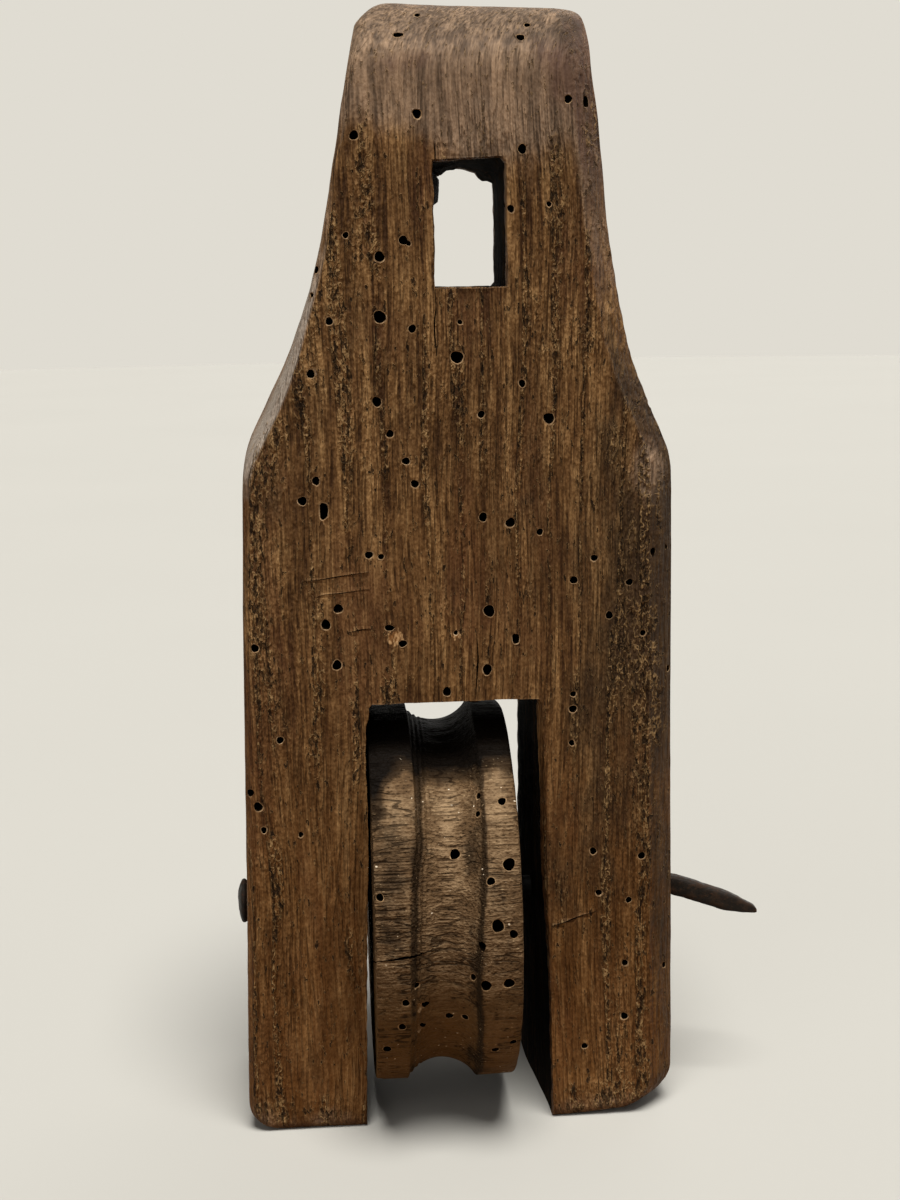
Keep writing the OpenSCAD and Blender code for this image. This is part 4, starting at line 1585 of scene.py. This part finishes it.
def set_camera(scene):
    """The camera at the photograph's place and angle."""
    across, down, forward = camera_axes()
    data = bpy.data.cameras.new("camera")
    data.sensor_fit = "VERTICAL"
    data.sensor_height = FILM_HEIGHT
    data.lens = FOCAL_PIXELS / FRAME_SIZE[1] * FILM_HEIGHT
    data.clip_start = 0.01
    data.clip_end = 20.0
    camera = bpy.data.objects.new("camera", data)
    turn = Matrix((across, -down, -forward)).transposed().to_4x4()
    camera.matrix_world = Matrix.Translation(CAMERA_PLACE * MM) @ turn
    scene.collection.objects.link(camera)
    scene.camera = camera


class PULLEY_PT_panel(Panel):
    """Settings and build buttons of the pulley block."""

    bl_label = "Pulley Block"
    bl_idname = "PULLEY_PT_panel"
    bl_space_type = "VIEW_3D"
    bl_region_type = "UI"
    bl_category = "Pulley Block"

    def draw(self, context):
        for group, operator in (
            ("pulley_shell", PULLEY_OT_shell), ("pulley_wheel", PULLEY_OT_wheel),
            ("pulley_nail", PULLEY_OT_nail), ("pulley_stage", PULLEY_OT_stage),
        ):
            box = self.layout.box()
            settings = getattr(context.scene, group)
            for name in settings.__annotations__:
                box.prop(settings, name)
            box.operator(operator.bl_idname)


GROUPS = {
    "pulley_shell": ShellSettings, "pulley_wheel": WheelSettings,
    "pulley_nail": NailSettings, "pulley_stage": StageSettings,
}
CLASSES = (
    *GROUPS.values(), PULLEY_OT_shell, PULLEY_OT_wheel, PULLEY_OT_nail, PULLEY_OT_stage, PULLEY_PT_panel,
)


def register():
    """Makes the settings, the build buttons and the panel known to Blender."""
    for item in CLASSES:
        bpy.utils.register_class(item)
    for name, group in GROUPS.items():
        setattr(bpy.types.Scene, name, PointerProperty(type=group))


def unregister():
    """Takes them out again."""
    for name in GROUPS:
        delattr(bpy.types.Scene, name)
    for item in reversed(CLASSES):
        bpy.utils.unregister_class(item)


def main():
    """Builds the pieces and the stage."""
    register()
    bpy.ops.pulley.shell()
    bpy.ops.pulley.wheel()
    bpy.ops.pulley.nail()
    bpy.ops.pulley.stage()


if __name__ == "__main__":
    main()
